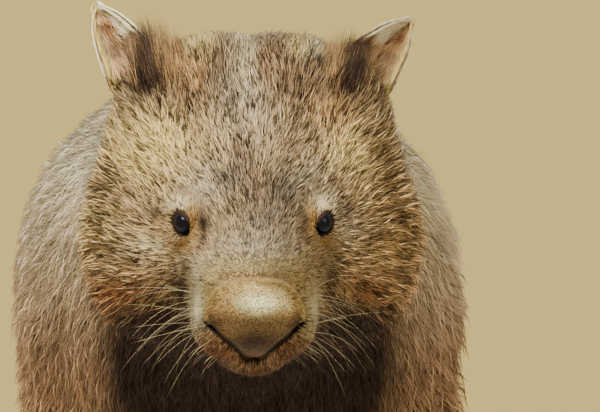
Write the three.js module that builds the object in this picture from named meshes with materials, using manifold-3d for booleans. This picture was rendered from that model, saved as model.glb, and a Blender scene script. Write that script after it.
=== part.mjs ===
// A common wombat standing on its four feet, life size, as one still model in named pieces.
// Millimetres, +Z up. The animal faces -Y, so its left side is at +X.
import * as THREE from "three";
import { mergeVertices } from "three/addons/utils/BufferGeometryUtils.js";
import Module from "manifold-3d";

const wasm = await Module();
wasm.setup();
const { degToRad, lerp, clamp } = THREE.MathUtils;

// Driving dimensions. Every surface is the tip of the coat, so it lies outside the skin.
const SEAM = 0.3; // gap between two pieces that meet
const EYE_MIDPOINT = [0, -320, 242]; // between the eyes, where the frame of the face starts
const HEAD_PITCH = 33; // nose down
const HEAD_YAW = 2; // nose towards the animal's left
const HEAD_END = [0, -248, 268]; // a point where the head meets the neck
const NECK_TILT = 12; // and how far that seam leans back at the top
const NECK_END = -174; // where the neck meets the torso
const WRIST = 43; // height where a leg meets its paw
const SPINE_START = -278; // behind here the body runs back to the animal's right
const SPINE_YAW = 0.06; // by this much per mm
const SPINE_CURVE = 0.00005; // and bends further that way
const TAIL = { root: [0, 455, 243], tip: [0, 492, 218], radius: 14 };
// The line of the mouth from front to back as Y and Z in the frame of the face, and the jaw below it
const JAW = { front: [-45, -80], back: [15, -61], end: 4, halfWidth: 37, inset: 1.7 };
const EYE = { apart: 89, radius: 8, sunk: 0.8, length: 15.3, height: 11.6, tilt: 45, lid: 1.4 };
const EYE_AXIS = [0.68, -0.71, -0.18]; // the way the left eye looks
const NOSE = { top: -30, wide: -44, tip: -78, halfTop: 14, halfWidth: 26, depth: -42, raised: 1.1 };
const NOSTRIL = { x: 22, z: -53, long: 5.6, narrow: 2.4, deep: 8, tilt: 38 };
const EAR = { base: [71, 52, 92], sink: 15, halfWidth: 20.5, cup: 14, thick: 4.8, rim: 2 };
const EARS = [
  { name: "ear_left", side: 1, length: 43.5, axis: [0.6, 0.3, 0.68], facing: [0.3, -0.94, 0.2] },
  { name: "ear_right", side: -1, length: 47, axis: [0.56, 0.1, 0.82], facing: [0.3, -0.94, 0.1] },
];
const TOE = { radius: 8.5, length: 26, sunk: 1.6, flat: 2.2, clawUp: 2.4 };

// Sizes of a fore and a hind leg on the left, from the hip to the claws
const FORE = {
  hip: [96, -89, 148],
  thick: 55,
  knee: [111, -85, 100],
  kneeRadius: 41,
  ankle: [98, -115],
  ankleRadius: 31,
  turn: -8,
  cut: { centre: [118, -98, 100], radii: [91, 107, 117] },
  toes: 5,
  clawed: 5,
  spread: 14.3,
  knuckles: -28,
  drawnBack: 3,
  fan: 7,
  pads: [[[0, -6, 20], [32, 31, 22]]],
  heel: 44,
  claw: { length: 25, width: 6.8, height: 8 },
};
const HIND = {
  hip: [93, 316, 148],
  thick: 59,
  knee: [107, 322, 98],
  kneeRadius: 43,
  ankle: [96, 350],
  ankleRadius: 31,
  turn: 6,
  cut: { centre: [115, 326, 104], radii: [87, 124, 126] },
  toes: 5,
  clawed: 4,
  spread: 12.5,
  knuckles: -44,
  drawnBack: 3,
  fan: 4,
  pads: [[[0, -20, 18], [28, 33, 20]], [[0, 13, 18], [24, 31, 20]]],
  heel: 56,
  claw: { length: 17, width: 6.3, height: 6.5 },
};
// The stance: how far each foot is set forward or back
const LEGS = [
  { name: "foreleg_left", side: 1, kind: FORE, stride: -22 },
  { name: "foreleg_right", side: -1, kind: FORE, stride: 11 },
  { name: "hindleg_left", side: 1, kind: HIND, stride: 13 },
  { name: "hindleg_right", side: -1, kind: HIND, stride: -24 },
];

// Colours of the coat and the bare parts
const COLOURS = {
  coat: 0x8f7350,
  nose: 0x9c7a55,
  ear: 0xa88a66,
  eye: 0x1a100b,
  paw: 0x5b4634,
  claw: 0x3d3229,
};
const MATERIALS = Object.fromEntries(
  Object.entries(COLOURS).map(([name, color]) => [
    name,
    new THREE.MeshStandardMaterial({ color, roughness: name === "eye" ? 0.08 : 0.85, metalness: 0 }),
  ]),
);

// Fields: a function of a point that is negative inside a form and grows with distance from it

function ellipsoid([cx, cy, cz], [rx, ry, rz]) {
  return (x, y, z) => {
    const a = (x - cx) / rx;
    const b = (y - cy) / ry;
    const c = (z - cz) / rz;
    const near = Math.hypot(a, b, c);
    const slope = Math.hypot(a / rx, b / ry, c / rz);
    return slope < 1e-9 ? -Math.min(rx, ry, rz) : (near * (near - 1)) / slope;
  };
}

function limb([ax, ay, az], startRadius, [bx, by, bz], endRadius) {
  const [dx, dy, dz] = [bx - ax, by - ay, bz - az];
  const squared = dx * dx + dy * dy + dz * dz;
  return (x, y, z) => {
    const along = clamp(((x - ax) * dx + (y - ay) * dy + (z - az) * dz) / squared, 0, 1);
    const away = Math.hypot(x - ax - along * dx, y - ay - along * dy, z - az - along * dz);
    return away - lerp(startRadius, endRadius, along);
  };
}

function smoothLower(a, b, reach) {
  const near = Math.max(reach - Math.abs(a - b), 0) / reach;
  return Math.min(a, b) - (near * near * reach) / 4;
}

// One form flowing into the next over the given reach
function blend(reach, ...fields) {
  return (x, y, z) => fields.slice(1).reduce((d, f) => smoothLower(d, f(x, y, z), reach), fields[0](x, y, z));
}

// The same form on the left and on the right
const pair = (field) => (x, y, z) => field(Math.abs(x), y, z);

// A field read through an object's own frame
function inFrameOf(object, field) {
  object.updateWorldMatrix(true, false);
  const m = object.matrixWorld.clone().invert().elements;
  return (x, y, z) =>
    field(
      m[0] * x + m[4] * y + m[8] * z + m[12],
      m[1] * x + m[5] * y + m[9] * z + m[13],
      m[2] * x + m[6] * y + m[10] * z + m[14],
    );
}

// A field of the animal's frame, read at points of an object's own frame
function throughFrameOf(object, field) {
  const m = object.matrixWorld.elements;
  return (x, y, z) =>
    field(
      m[0] * x + m[4] * y + m[8] * z + m[12],
      m[1] * x + m[5] * y + m[9] * z + m[13],
      m[2] * x + m[6] * y + m[10] * z + m[14],
    );
}

// How far the surface lies from a point inside, along a direction
function reachOf(field, from, direction, furthest = 200) {
  let [inside, outside] = [0, furthest];
  for (let step = 0; step < 30; step++) {
    const middle = (inside + outside) / 2;
    const p = from.clone().addScaledVector(direction, middle);
    if (field(p.x, p.y, p.z) < 0) inside = middle;
    else outside = middle;
  }
  return inside;
}

// Meshes

// Grid lines from one place to the next, each stretch with its own spacing: [from, to, spacing], ...
function lines(...stretches) {
  const out = [stretches[0][0]];
  for (const [from, to, spacing] of stretches) {
    const count = Math.max(1, Math.round((to - from) / spacing));
    for (let i = 1; i <= count; i++) out.push(from + ((to - from) * i) / count);
  }
  return out;
}

// Moves a point onto the surface of a field along the field's slope
function settle(field, p) {
  const step = 0.5;
  for (let turn = 0; turn < 3; turn++) {
    const value = field(...p);
    const slope = [0, 1, 2].map((axis) => {
      const q = [...p];
      q[axis] += step;
      return (field(...q) - value) / step;
    });
    const squared = slope[0] ** 2 + slope[1] ** 2 + slope[2] ** 2;
    if (squared > 1e-6) p.forEach((_, axis) => (p[axis] -= (value * slope[axis]) / squared));
  }
  return p;
}

// Where inside and outside alternate round a square of the grid, the corner nearest the surface
// changes side, so that no more than two faces ever meet on an edge
function clearDoubt(values, at, size) {
  const squares = [[[1, 0, 0], [0, 1, 0]], [[0, 1, 0], [0, 0, 1]], [[0, 0, 1], [1, 0, 0]]];
  const last = size.map((n) => n - 2);
  for (let changed = 1, turn = 0; changed && turn < 20; turn++) {
    changed = 0;
    for (let k = 1; k < last[2]; k++)
      for (let j = 1; j < last[1]; j++)
        for (let i = 1; i < last[0]; i++)
          for (const [u, v] of squares) {
            const ring = [[0, 0], [1, 0], [1, 1], [0, 1]].map(([m, n]) =>
              at(i + m * u[0] + n * v[0], j + m * u[1] + n * v[1], k + m * u[2] + n * v[2]),
            );
            const inside = ring.map((n) => values[n] < 0);
            if (inside[0] !== inside[2] || inside[1] !== inside[3] || inside[0] === inside[1]) continue;
            const nearest = ring.reduce((a, b) => (Math.abs(values[b]) < Math.abs(values[a]) ? b : a));
            values[nearest] = values[nearest] < 0 ? 0.05 : -0.05;
            changed++;
          }
  }
}

// The closed surface of a field inside a box of grid lines, one vertex in each cell that it crosses
function surfaceOf(field, xs, ys, zs) {
  const [nx, ny, nz] = [xs.length, ys.length, zs.length];
  const at = (i, j, k) => (k * ny + j) * nx + i;
  const values = new Float64Array(nx * ny * nz);
  const onEdge = (i, n) => i === 0 || i === n - 1;
  for (let k = 0; k < nz; k++)
    for (let j = 0; j < ny; j++)
      for (let i = 0; i < nx; i++)
        values[at(i, j, k)] =
          onEdge(i, nx) || onEdge(j, ny) || onEdge(k, nz) ? 40 : field(xs[i], ys[j], zs[k]);

  clearDoubt(values, at, [nx, ny, nz]);

  const positions = [];
  const vertexOf = new Int32Array(nx * ny * nz).fill(-1);
  const corners = [0, 1, 2, 3, 4, 5, 6, 7].map((n) => [n & 1, (n >> 1) & 1, n >> 2]);
  const edges = [];
  corners.forEach((a, m) =>
    corners.forEach((b, n) => {
      if (m < n && Math.abs(a[0] - b[0]) + Math.abs(a[1] - b[1]) + Math.abs(a[2] - b[2]) === 1) edges.push([a, b]);
    }),
  );
  for (let k = 0; k < nz - 1; k++)
    for (let j = 0; j < ny - 1; j++)
      for (let i = 0; i < nx - 1; i++) {
        const sum = [0, 0, 0];
        let crossed = 0;
        for (const [a, b] of edges) {
          const va = values[at(i + a[0], j + a[1], k + a[2])];
          const vb = values[at(i + b[0], j + b[1], k + b[2])];
          if (va < 0 === vb < 0) continue;
          const t = va / (va - vb);
          sum[0] += lerp(xs[i + a[0]], xs[i + b[0]], t);
          sum[1] += lerp(ys[j + a[1]], ys[j + b[1]], t);
          sum[2] += lerp(zs[k + a[2]], zs[k + b[2]], t);
          crossed++;
        }
        if (!crossed) continue;
        const middle = sum.map((s) => s / crossed);
        const onBorder = onEdge(i, nx - 1) || onEdge(j, ny - 1) || onEdge(k, nz - 1);
        vertexOf[at(i, j, k)] = positions.length / 3;
        positions.push(...(onBorder ? middle : settle(field, middle)));
      }

  const apart = (m, n) =>
    Math.hypot(...[0, 1, 2].map((axis) => positions[3 * m + axis] - positions[3 * n + axis]));
  const triangles = [];
  const addQuad = (q, outwards) => {
    const [a, b, c, d] = outwards ? q : [...q].reverse();
    if (apart(a, c) < apart(b, d)) triangles.push(a, b, c, a, c, d);
    else triangles.push(b, c, d, b, d, a);
  };
  for (let k = 0; k < nz - 1; k++)
    for (let j = 0; j < ny - 1; j++)
      for (let i = 0; i < nx - 1; i++) {
        const here = values[at(i, j, k)] < 0;
        const cell = (di, dj, dk) => vertexOf[at(i + di, j + dj, k + dk)];
        if (j && k && here !== values[at(i + 1, j, k)] < 0)
          addQuad([cell(0, -1, -1), cell(0, 0, -1), cell(0, 0, 0), cell(0, -1, 0)], here);
        if (i && k && here !== values[at(i, j + 1, k)] < 0)
          addQuad([cell(-1, 0, -1), cell(-1, 0, 0), cell(0, 0, 0), cell(0, 0, -1)], here);
        if (i && j && here !== values[at(i, j, k + 1)] < 0)
          addQuad([cell(-1, -1, 0), cell(0, -1, 0), cell(0, 0, 0), cell(-1, 0, 0)], here);
      }
  const geometry = new THREE.BufferGeometry();
  geometry.setAttribute("position", new THREE.BufferAttribute(new Float32Array(positions), 3));
  geometry.setIndex(triangles);
  return solidOf(geometry);
}

// A closed geometry through rings of points, from the first ring to the last
function loft(rings) {
  const count = rings[0].length;
  const positions = rings.flat().flatMap((p) => [p.x, p.y, p.z]);
  const triangles = [];
  for (let r = 0; r < rings.length - 1; r++)
    for (let n = 0; n < count; n++) {
      const [a, b] = [r * count + n, r * count + ((n + 1) % count)];
      triangles.push(a, b, b + count, a, b + count, a + count);
    }
  for (const [ring, first] of [[0, true], [rings.length - 1, false]]) {
    const middle = positions.length / 3;
    const centre = rings[ring].reduce((s, p) => s.add(p), new THREE.Vector3()).divideScalar(count);
    positions.push(centre.x, centre.y, centre.z);
    for (let n = 0; n < count; n++) {
      const [a, b] = [ring * count + n, ring * count + ((n + 1) % count)];
      triangles.push(...(first ? [middle, b, a] : [middle, a, b]));
    }
  }
  const geometry = new THREE.BufferGeometry();
  geometry.setAttribute("position", new THREE.BufferAttribute(new Float32Array(positions), 3));
  geometry.setIndex(triangles);
  return geometry;
}

// A claw with a flat root a seam in front of the origin, which runs along -Y, curves down and ends in a point
function clawGeometry({ length, width, height }) {
  const rings = [0, 0.25, 0.55, 0.82, 1].map((t) => {
    const slim = 1 - 0.86 * t ** 1.5;
    const drop = -0.3 * length * t * t;
    return Array.from({ length: 6 }, (_, n) => {
      const angle = (n * Math.PI) / 3 + Math.PI / 6;
      const [side, up] = [Math.cos(angle) * width * 0.5 * slim, Math.sin(angle) * height * 0.5 * slim];
      return new THREE.Vector3(side, -SEAM - t * length, drop + up);
    });
  });
  return loft(rings);
}

// The flat end of a toe, from which its claw points on and a little down
function clawPlace({ end: [x, y, z], aim }) {
  const turn = degToRad(aim);
  const reach = TOE.radius - TOE.flat;
  return new THREE.Matrix4()
    .makeRotationZ(turn)
    .setPosition(x + Math.sin(turn) * reach, y - Math.cos(turn) * reach, z + TOE.clawUp);
}

// An ear that stands on the origin along +Z with its cup open to -Y: a trough that narrows to a tip
function earGeometry(length) {
  const opening = degToRad(104);
  const across = [1, 0.72, 0.45, 0.2, 0, -0.2, -0.45, -0.72, -1];
  const rows = [-EAR.sink / length, 0, 0.22, 0.44, 0.64, 0.81, 0.93, 1];
  const rings = rows.map((t) => {
    const share = t < 0 ? 0.86 : 1 - 0.62 * t - 0.28 * t ** 4;
    const [wide, deep] = [EAR.halfWidth * share, EAR.cup * share];
    const wall = lerp(EAR.thick, EAR.rim, clamp(t, 0, 1)) * Math.min(1, share * 2);
    const arc = (u, inset) => {
      const thinner = inset * (1 - 0.45 * u * u);
      const w = Math.max(wide - thinner, wide * 0.3);
      const d = Math.max(deep - thinner, deep * 0.2);
      return new THREE.Vector3(Math.sin(u * opening) * w, Math.cos(u * opening) * d, t * length);
    };
    return [...across.map((u) => arc(u, 0)), ...across.toReversed().map((u) => arc(u, wall))];
  });
  return loft(rings);
}

// Turns an object's own axes to the given X and Z and places its origin
function placeBy(xAxis, zAxis, origin) {
  const z = zAxis.clone().normalize();
  const y = new THREE.Vector3().crossVectors(z, xAxis).normalize();
  const x = new THREE.Vector3().crossVectors(y, z);
  return new THREE.Matrix4().makeBasis(x, y, z).setPosition(origin);
}

// The outline of an open eye with pointed corners
function almond(length, height) {
  const shape = new THREE.Shape();
  shape.moveTo(-length / 2, 0);
  shape.bezierCurveTo(-length * 0.24, height * 0.66, length * 0.24, height * 0.66, length / 2, 0);
  shape.bezierCurveTo(length * 0.24, -height * 0.66, -length * 0.24, -height * 0.66, -length / 2, 0);
  return shape;
}

// The outline of the bare nose from the front, wide at the nostrils and pointed below
function shield(grow) {
  const { top, wide, tip, halfTop, halfWidth } = NOSE;
  const shape = new THREE.Shape();
  shape.moveTo(0, top + grow);
  shape.lineTo(halfTop + grow * 0.5, top + grow);
  shape.quadraticCurveTo(halfWidth - 3 + grow, top + grow, halfWidth + grow, wide);
  shape.quadraticCurveTo(halfWidth + grow, wide - 13, 11 + grow, tip + 16);
  shape.lineTo(3 + grow, tip - grow);
  shape.lineTo(-3 - grow, tip - grow);
  shape.lineTo(-11 - grow, tip + 16);
  shape.quadraticCurveTo(-halfWidth - grow, wide - 13, -halfWidth - grow, wide);
  shape.quadraticCurveTo(-halfWidth + 3 - grow, top + grow, -halfTop - grow * 0.5, top + grow);
  shape.closePath();
  return shape;
}

// Solids for cutting and joining

function solidOf(geometry, matrix) {
  const bare = (geometry.index ? geometry.toNonIndexed() : geometry.clone()).deleteAttribute("normal");
  bare.deleteAttribute("uv");
  if (matrix) bare.applyMatrix4(matrix);
  const merged = mergeVertices(bare, 1e-4);
  const made = new wasm.Manifold(
    new wasm.Mesh({
      numProp: 3,
      vertProperties: merged.attributes.position.array,
      triVerts: new Uint32Array(merged.index.array),
    }),
  );
  return made;
}

function geometryOf(solid) {
  const { vertProperties, numProp, triVerts, numVert } = solid.getMesh();
  const positions = new Float32Array(numVert * 3);
  for (let i = 0; i < numVert; i++) positions.set(vertProperties.subarray(i * numProp, i * numProp + 3), 3 * i);
  const geometry = new THREE.BufferGeometry();
  geometry.setAttribute("position", new THREE.BufferAttribute(positions, 3));
  geometry.setIndex(new THREE.BufferAttribute(triVerts, 1));
  geometry.computeVertexNormals();
  return geometry;
}

const largest = (solid) => solid.decompose().reduce((a, b) => (b.volume() > a.volume() ? b : a));

// A ball cut into facets and stretched, used as a cutter or as an eye
function ball(centre, radii, across = 20, down = 14) {
  const matrix = new THREE.Matrix4().makeTranslation(...centre).scale(new THREE.Vector3(...radii));
  return solidOf(new THREE.SphereGeometry(1, across, down), matrix);
}

// The solid moved outwards a little: its union with copies of itself shifted each way
function grown(solid, by) {
  const shifts = [[1, 0, 0], [-1, 0, 0], [0, 1, 0], [0, -1, 0], [0, 0, 1], [0, 0, -1]];
  return shifts.reduce((s, shift) => s.add(solid.translate(shift.map((v) => v * by * 1.2))), solid);
}

// An outline drawn in X and Z, as a solid from one depth to the next along Y
function slabOf(shape, front, back, curveSegments) {
  const geometry = new THREE.ExtrudeGeometry(shape, { depth: back - front, bevelEnabled: false, curveSegments });
  return solidOf(geometry, new THREE.Matrix4().makeRotationX(Math.PI / 2).setPosition(0, back, 0));
}

function addPiece(parent, name, material, solid) {
  const mesh = new THREE.Mesh(geometryOf(largest(solid)), MATERIALS[material]);
  mesh.name = name;
  parent.add(mesh);
  return mesh;
}

// The plan of the animal: groups first, so that each field can be read through its frame

const animal = new THREE.Group();
// The frame of the face stands upright between the eyes, and the snout's is pitched with the head
const face = new THREE.Group();
face.position.set(...EYE_MIDPOINT);
face.rotation.z = degToRad(HEAD_YAW);
animal.add(face);
const snout = new THREE.Group();
snout.rotation.x = degToRad(HEAD_PITCH);
face.add(snout);

const spineShift = (y) => {
  const back = Math.max(0, y - SPINE_START);
  return -SPINE_YAW * back - SPINE_CURVE * back * back;
};

for (const leg of LEGS) {
  const y = leg.kind.ankle[1] + leg.stride;
  leg.ankle = [leg.side * leg.kind.ankle[0], y, WRIST];
  leg.paw = new THREE.Group();
  leg.paw.position.set(leg.ankle[0] + spineShift(y), y, 0);
  leg.paw.rotation.z = degToRad(leg.side * leg.kind.turn);
  animal.add(leg.paw);
}

// The trunk in a frame whose spine is straight
const trunk = blend(
  56,
  ellipsoid([0, 90, 215], [117, 278, 141]), // back
  ellipsoid([0, 98, 172], [150, 258, 126]), // ribs and belly
  ellipsoid([0, 238, 181], [144, 206, 133]), // flanks
  ellipsoid([0, -78, 196], [124, 148, 131]), // chest
  ellipsoid([0, 326, 207], [118, 158, 139]), // rump
  limb([0, -120, 231], 113, [0, -199, 244], 104), // neck
  pair(ellipsoid([81, -91, 181], [65, 85, 96])), // shoulder
  pair(ellipsoid([80, 322, 172], [65, 112, 104])), // thigh
);

function legForm({ side, kind, ankle: [x, y, z] }) {
  const [hipX, hipY, hipZ] = kind.hip;
  const [kneeX, kneeY, kneeZ] = kind.knee;
  const knee = [side * kneeX, lerp(kneeY, y + kneeY - kind.ankle[1], 0.5), kneeZ];
  return blend(
    19,
    limb([side * hipX, hipY, hipZ], kind.thick, knee, kind.kneeRadius),
    limb(knee, kind.kneeRadius, [x, y, z - 15], kind.ankleRadius),
  );
}

// Where toe number n of a paw starts and ends, in the paw's frame
function toeOf(kind, n) {
  const off = n - (kind.toes - 1) / 2;
  const drawnBack = kind.drawnBack * off * off;
  return {
    start: [off * kind.spread * 0.8, kind.knuckles + drawnBack * 0.5, 12],
    end: [off * kind.spread * 1.12, kind.knuckles - TOE.length + drawnBack, TOE.radius - TOE.sunk],
    aim: off * kind.fan,
  };
}

function pawForm(kind) {
  const toes = Array.from({ length: kind.toes }, (_, n) => {
    const { start, end } = toeOf(kind, n);
    return limb(start, TOE.radius + 1.4, end, TOE.radius);
  });
  const pads = kind.pads.map(([centre, radii]) => ellipsoid(centre, radii));
  return (x, y, z) => smoothLower(blend(15, ...pads)(x, y, z), blend(3, ...toes)(x, y, z), 8);
}

// The head: the skull and cheeks in the upright frame, and the muzzle in the pitched one
const skullForm = blend(
  22,
  ellipsoid([0, 85, 50], [80, 74, 65]), // brain case
  pair(ellipsoid([29, 85, 74], [38, 52, 44])), // the two swells of the crown
  pair(ellipsoid([61, 57, 57], [30, 41, 44])), // where the ears stand
  pair(ellipsoid([54, 54, -11], [53, 61, 67])), // cheeks
  ellipsoid([0, 37, 17], [54, 57, 50]), // forehead
  ellipsoid([0, 52, -48], [46, 72, 42]), // throat
);
const muzzleForm = blend(
  13,
  ellipsoid([0, -43, -18], [36, 44, 33]),
  ellipsoid([0, -6, -4], [39, 57, 28]), // bridge
  pair(ellipsoid([18, -61, -31], [19, 22, 18])), // upper lips
  ellipsoid([0, -31, -51], [30, 48, 19]), // lower jaw
);

const straight = (field) => (x, y, z) => field(x - spineShift(y), y, z);
const headForms = [inFrameOf(face, skullForm), inFrameOf(snout, muzzleForm)];
const legForms = LEGS.map((leg) => straight(legForm(leg)));
const pawForms = LEGS.map((leg) => inFrameOf(leg.paw, pawForm(leg.kind)));
const upperBody = blend(28, straight(trunk), ...headForms);
const body = blend(28, straight(trunk), ...headForms, ...legForms);

// Neck, torso and tail

const leaning = degToRad(NECK_TILT);
const neckPlane = new THREE.Plane().setFromNormalAndCoplanarPoint(
  new THREE.Vector3(0, Math.cos(leaning), -Math.sin(leaning)),
  new THREE.Vector3(...HEAD_END),
);
const shoulderPlane = new THREE.Plane(new THREE.Vector3(0, 1, 0), -NECK_END);

// The part of a solid on the side that the plane's normal points to, half a seam clear of the plane
const beyond = (solid, plane) => solid.trimByPlane(plane.normal.toArray(), -plane.constant + SEAM / 2);
const before = (solid, plane) => beyond(solid, plane.clone().negate());

const legCutters = LEGS.map(({ side, kind }) => {
  const [x, y, z] = kind.cut.centre;
  return (grow) => ball([side * x + spineShift(y), y, z], kind.cut.radii.map((r) => r + grow), 14, 10);
});

const trunkSolid = surfaceOf(
  body,
  lines([-225, 185, 29]),
  lines([-320, -56, 26.4], [-56, 240, 42], [240, 510, 30]),
  lines([8, 92, 21], [92, 400, 31]),
);
const cored = legCutters.reduce((solid, cutter) => solid.subtract(cutter(SEAM)), trunkSolid);
addPiece(animal, "torso", "coat", beyond(cored, shoulderPlane));
addPiece(animal, "neck", "coat", before(beyond(cored, neckPlane), shoulderPlane));

const tailForm = limb(TAIL.root, TAIL.radius, TAIL.tip, TAIL.radius * 0.55);
const [tailX, tailY, tailZ] = TAIL.tip;
const tail = surfaceOf(
  straight(tailForm),
  lines([tailX + spineShift(tailY) - 30, tailX + spineShift(tailY) + 30, 7.5]),
  lines([tailY - 60, tailY + 24, 8.4]),
  lines([tailZ - 24, tailZ + 60, 8.4]),
);
addPiece(animal, "tail", "coat", tail.subtract(grown(trunkSolid, SEAM)));

// Legs, paws and claws

LEGS.forEach((leg, index) => {
  const { name, side, kind } = leg;
  const form = blend(28, straight(trunk), legForms[index]);
  const whole = (x, y, z) => smoothLower(form(x, y, z), pawForms[index](x, y, z), 11);
  const [cutX, cutY, cutZ] = [side * kind.cut.centre[0] + spineShift(kind.cut.centre[1]), ...kind.cut.centre.slice(1)];
  const [reachX, reachY, reachZ] = kind.cut.radii.map((r) => r + 12);
  const legSolid = surfaceOf(
    whole,
    lines([cutX - reachX, cutX + reachX, 20]),
    lines([cutY - reachY, cutY + reachY, 21]),
    lines([22, 88, 13], [88, cutZ + reachZ, 22]),
  );
  const upper = legSolid.trimByPlane([0, 0, 1], WRIST + SEAM / 2).intersect(legCutters[index](0));
  addPiece(animal, name, "coat", upper);

  const inPaw = throughFrameOf(leg.paw, whole);
  const pawSolid = surfaceOf(
    inPaw,
    lines([-48, 48, 6]),
    lines([-76, -20, 8], [-20, kind.heel, 13]),
    lines([-14, 4, 9], [4, 56, 9.3]),
  );
  const trimmed = pawSolid.trimByPlane([0, 0, 1], 0).trimByPlane([0, 0, -1], -WRIST + SEAM / 2);
  const clawed = Array.from({ length: kind.clawed }, (_, n) => toeOf(kind, side > 0 ? n : kind.toes - 1 - n));
  const ahead = new THREE.BoxGeometry(14, 12, 20).translate(0, -6, 0);
  const paw = clawed.reduce((solid, toe) => solid.subtract(solidOf(ahead, clawPlace(toe))), trimmed);
  addPiece(leg.paw, name.replace("leg", "paw"), "paw", paw);
  clawed.forEach((toe, n) => {
    const claw = solidOf(clawGeometry(kind.claw), clawPlace(toe));
    addPiece(leg.paw, `${name.replace("leg", "claw")}_${n + 1}`, "claw", claw);
  });
});

// Head, in the upright frame of the face

face.updateWorldMatrix(true, false);
const faceField = throughFrameOf(face, upperBody);
const headSurface = surfaceOf(
  faceField,
  lines([-130, -50, 13.3], [-50, 50, 7.15], [50, 130, 13.3]),
  lines([-91, -37, 6.75], [-37, 19, 9.3], [19, 122, 17]),
  lines([-136, -102, 11.3], [-102, -24, 6.5], [-24, 21, 7.5], [21, 154, 14.8]),
);
let skull = before(headSurface, neckPlane.clone().applyMatrix4(face.matrixWorld.clone().invert()));

// Nose: a raised shield let into the end of the muzzle, with a nostril at each side
const frontOf = (x, z) => -reachOf(faceField, new THREE.Vector3(x, 0, z), new THREE.Vector3(0, -1, 0));
const noseDome = surfaceOf(
  (x, y, z) => faceField(x, y, z) - NOSE.raised,
  lines([-33, 33, 6.6]),
  lines([-89, -33, 7]),
  lines([-91, -22, 6.9]),
);
const nostrils = [-1, 1].map((side) => {
  const { x, z, long, deep, narrow, tilt } = NOSTRIL;
  const place = new THREE.Matrix4()
    .makeRotationY(degToRad(-side * tilt))
    .setPosition(side * x, frontOf(side * x, z), z);
  return ball([0, 0, 0], [long, deep, narrow], 10, 8).transform(place.elements);
});
const nose = noseDome.intersect(slabOf(shield(0), -110, NOSE.depth, 4));
addPiece(face, "nose", "nose", nostrils.reduce((solid, hole) => solid.subtract(hole), nose));
skull = skull.subtract(slabOf(shield(SEAM), -110, NOSE.depth + SEAM, 4));

// Eyes in sockets behind the lids
for (const [side, name] of [[1, "eye_left"], [-1, "eye_right"]]) {
  const start = new THREE.Vector3((side * EYE.apart) / 2, 28, 0);
  const depth = reachOf(faceField, start, new THREE.Vector3(0, -1, 0));
  const middle = start.setY(start.y - depth);
  const axis = new THREE.Vector3(EYE_AXIS[0] * side, EYE_AXIS[1], EYE_AXIS[2]).normalize();
  const back = new THREE.Vector3(-axis.y * side, axis.x * side, 0);
  const up = new THREE.Vector3().crossVectors(axis, back).multiplyScalar(side);
  const slant = degToRad(EYE.tilt);
  const long = back.clone().multiplyScalar(Math.cos(slant)).addScaledVector(up, Math.sin(slant));
  const place = placeBy(long, axis, middle);
  const centre = middle.clone().addScaledVector(axis, -EYE.radius - EYE.sunk);
  const turned = placeBy(long, axis, centre);
  const eyeball = (radius) =>
    solidOf(new THREE.SphereGeometry(radius, 16, 10), turned.clone().multiply(new THREE.Matrix4().makeRotationX(Math.PI / 2)));
  const opening = new THREE.ExtrudeGeometry(almond(EYE.length, EYE.height), {
    depth: 16,
    bevelEnabled: false,
    curveSegments: 5,
  });
  opening.translate(0, 0, -7);
  const rim = almond(EYE.length + EYE.lid, EYE.height + EYE.lid).getSpacedPoints(16).slice(0, -1);
  const onSurface = rim.map(({ x, y }) => {
    const inside = new THREE.Vector3(x, y, -14).applyMatrix4(place);
    return inside.addScaledVector(axis, reachOf(faceField, inside, axis, 60) + 0.2);
  });
  const lid = new THREE.TubeGeometry(new THREE.CatmullRomCurve3(onSurface, true), 18, EYE.lid, 5, true);
  skull = skull.add(solidOf(lid)).subtract(solidOf(opening, place)).subtract(eyeball(EYE.radius + SEAM));
  addPiece(face, name, "eye", eyeball(EYE.radius));
}

// Lower jaw, a little inside the lips
const mouth = new THREE.Vector3(0, JAW.back[0] - JAW.front[0], JAW.back[1] - JAW.front[1]);
const mouthPlane = new THREE.Plane().setFromNormalAndCoplanarPoint(
  new THREE.Vector3(0, -mouth.z, mouth.y).normalize(),
  new THREE.Vector3(0, ...JAW.front),
);
const jawField = (x, y, z) => faceField(x, y, z) + JAW.inset * clamp((JAW.end - y) / 30, 0, 1);
const jawSolid = surfaceOf(jawField, lines([-60, 60, 7.5]), lines([-72, JAW.end + 12, 8]), lines([-120, -46, 7.4]));
const jawBlock = (grow) => {
  const side = JAW.halfWidth + grow;
  const corners = [[-side, -160], [side, -160], [side, -20], [-side, -20]];
  return slabOf(new THREE.Shape(corners.map(([x, z]) => new THREE.Vector2(x, z))), -120, JAW.end + grow, 1);
};
const lowered = mouthPlane.clone().translate(mouthPlane.normal.clone().multiplyScalar(SEAM));
addPiece(face, "lower_jaw", "coat", before(jawSolid, mouthPlane).intersect(jawBlock(0)));
skull = skull.subtract(before(jawBlock(SEAM), lowered));
addPiece(face, "head", "coat", skull);

// Ears
const clearOfHead = grown(skull, SEAM);
for (const { name, side, length, axis, facing } of EARS) {
  const mirror = ([x, y, z]) => new THREE.Vector3(side * x, y, z);
  const across = new THREE.Vector3().crossVectors(mirror(axis), mirror(facing));
  const ear = solidOf(earGeometry(length), placeBy(across, mirror(axis), mirror(EAR.base)));
  addPiece(face, name, "ear", ear.subtract(clearOfHead));
}

animal.updateMatrixWorld(true);
const box = new THREE.Box3().setFromObject(animal, true);
animal.position.set(-(box.min.x + box.max.x) / 2, -(box.min.y + box.max.y) / 2, -box.min.z);

const wombat = new THREE.Group();
wombat.add(animal);
export default wombat;
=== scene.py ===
"""A common wombat standing on its four feet, life size, dressed in skin and coat."""

import math

import bpy
import numpy as np
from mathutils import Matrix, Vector
from mathutils.kdtree import KDTree


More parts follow.
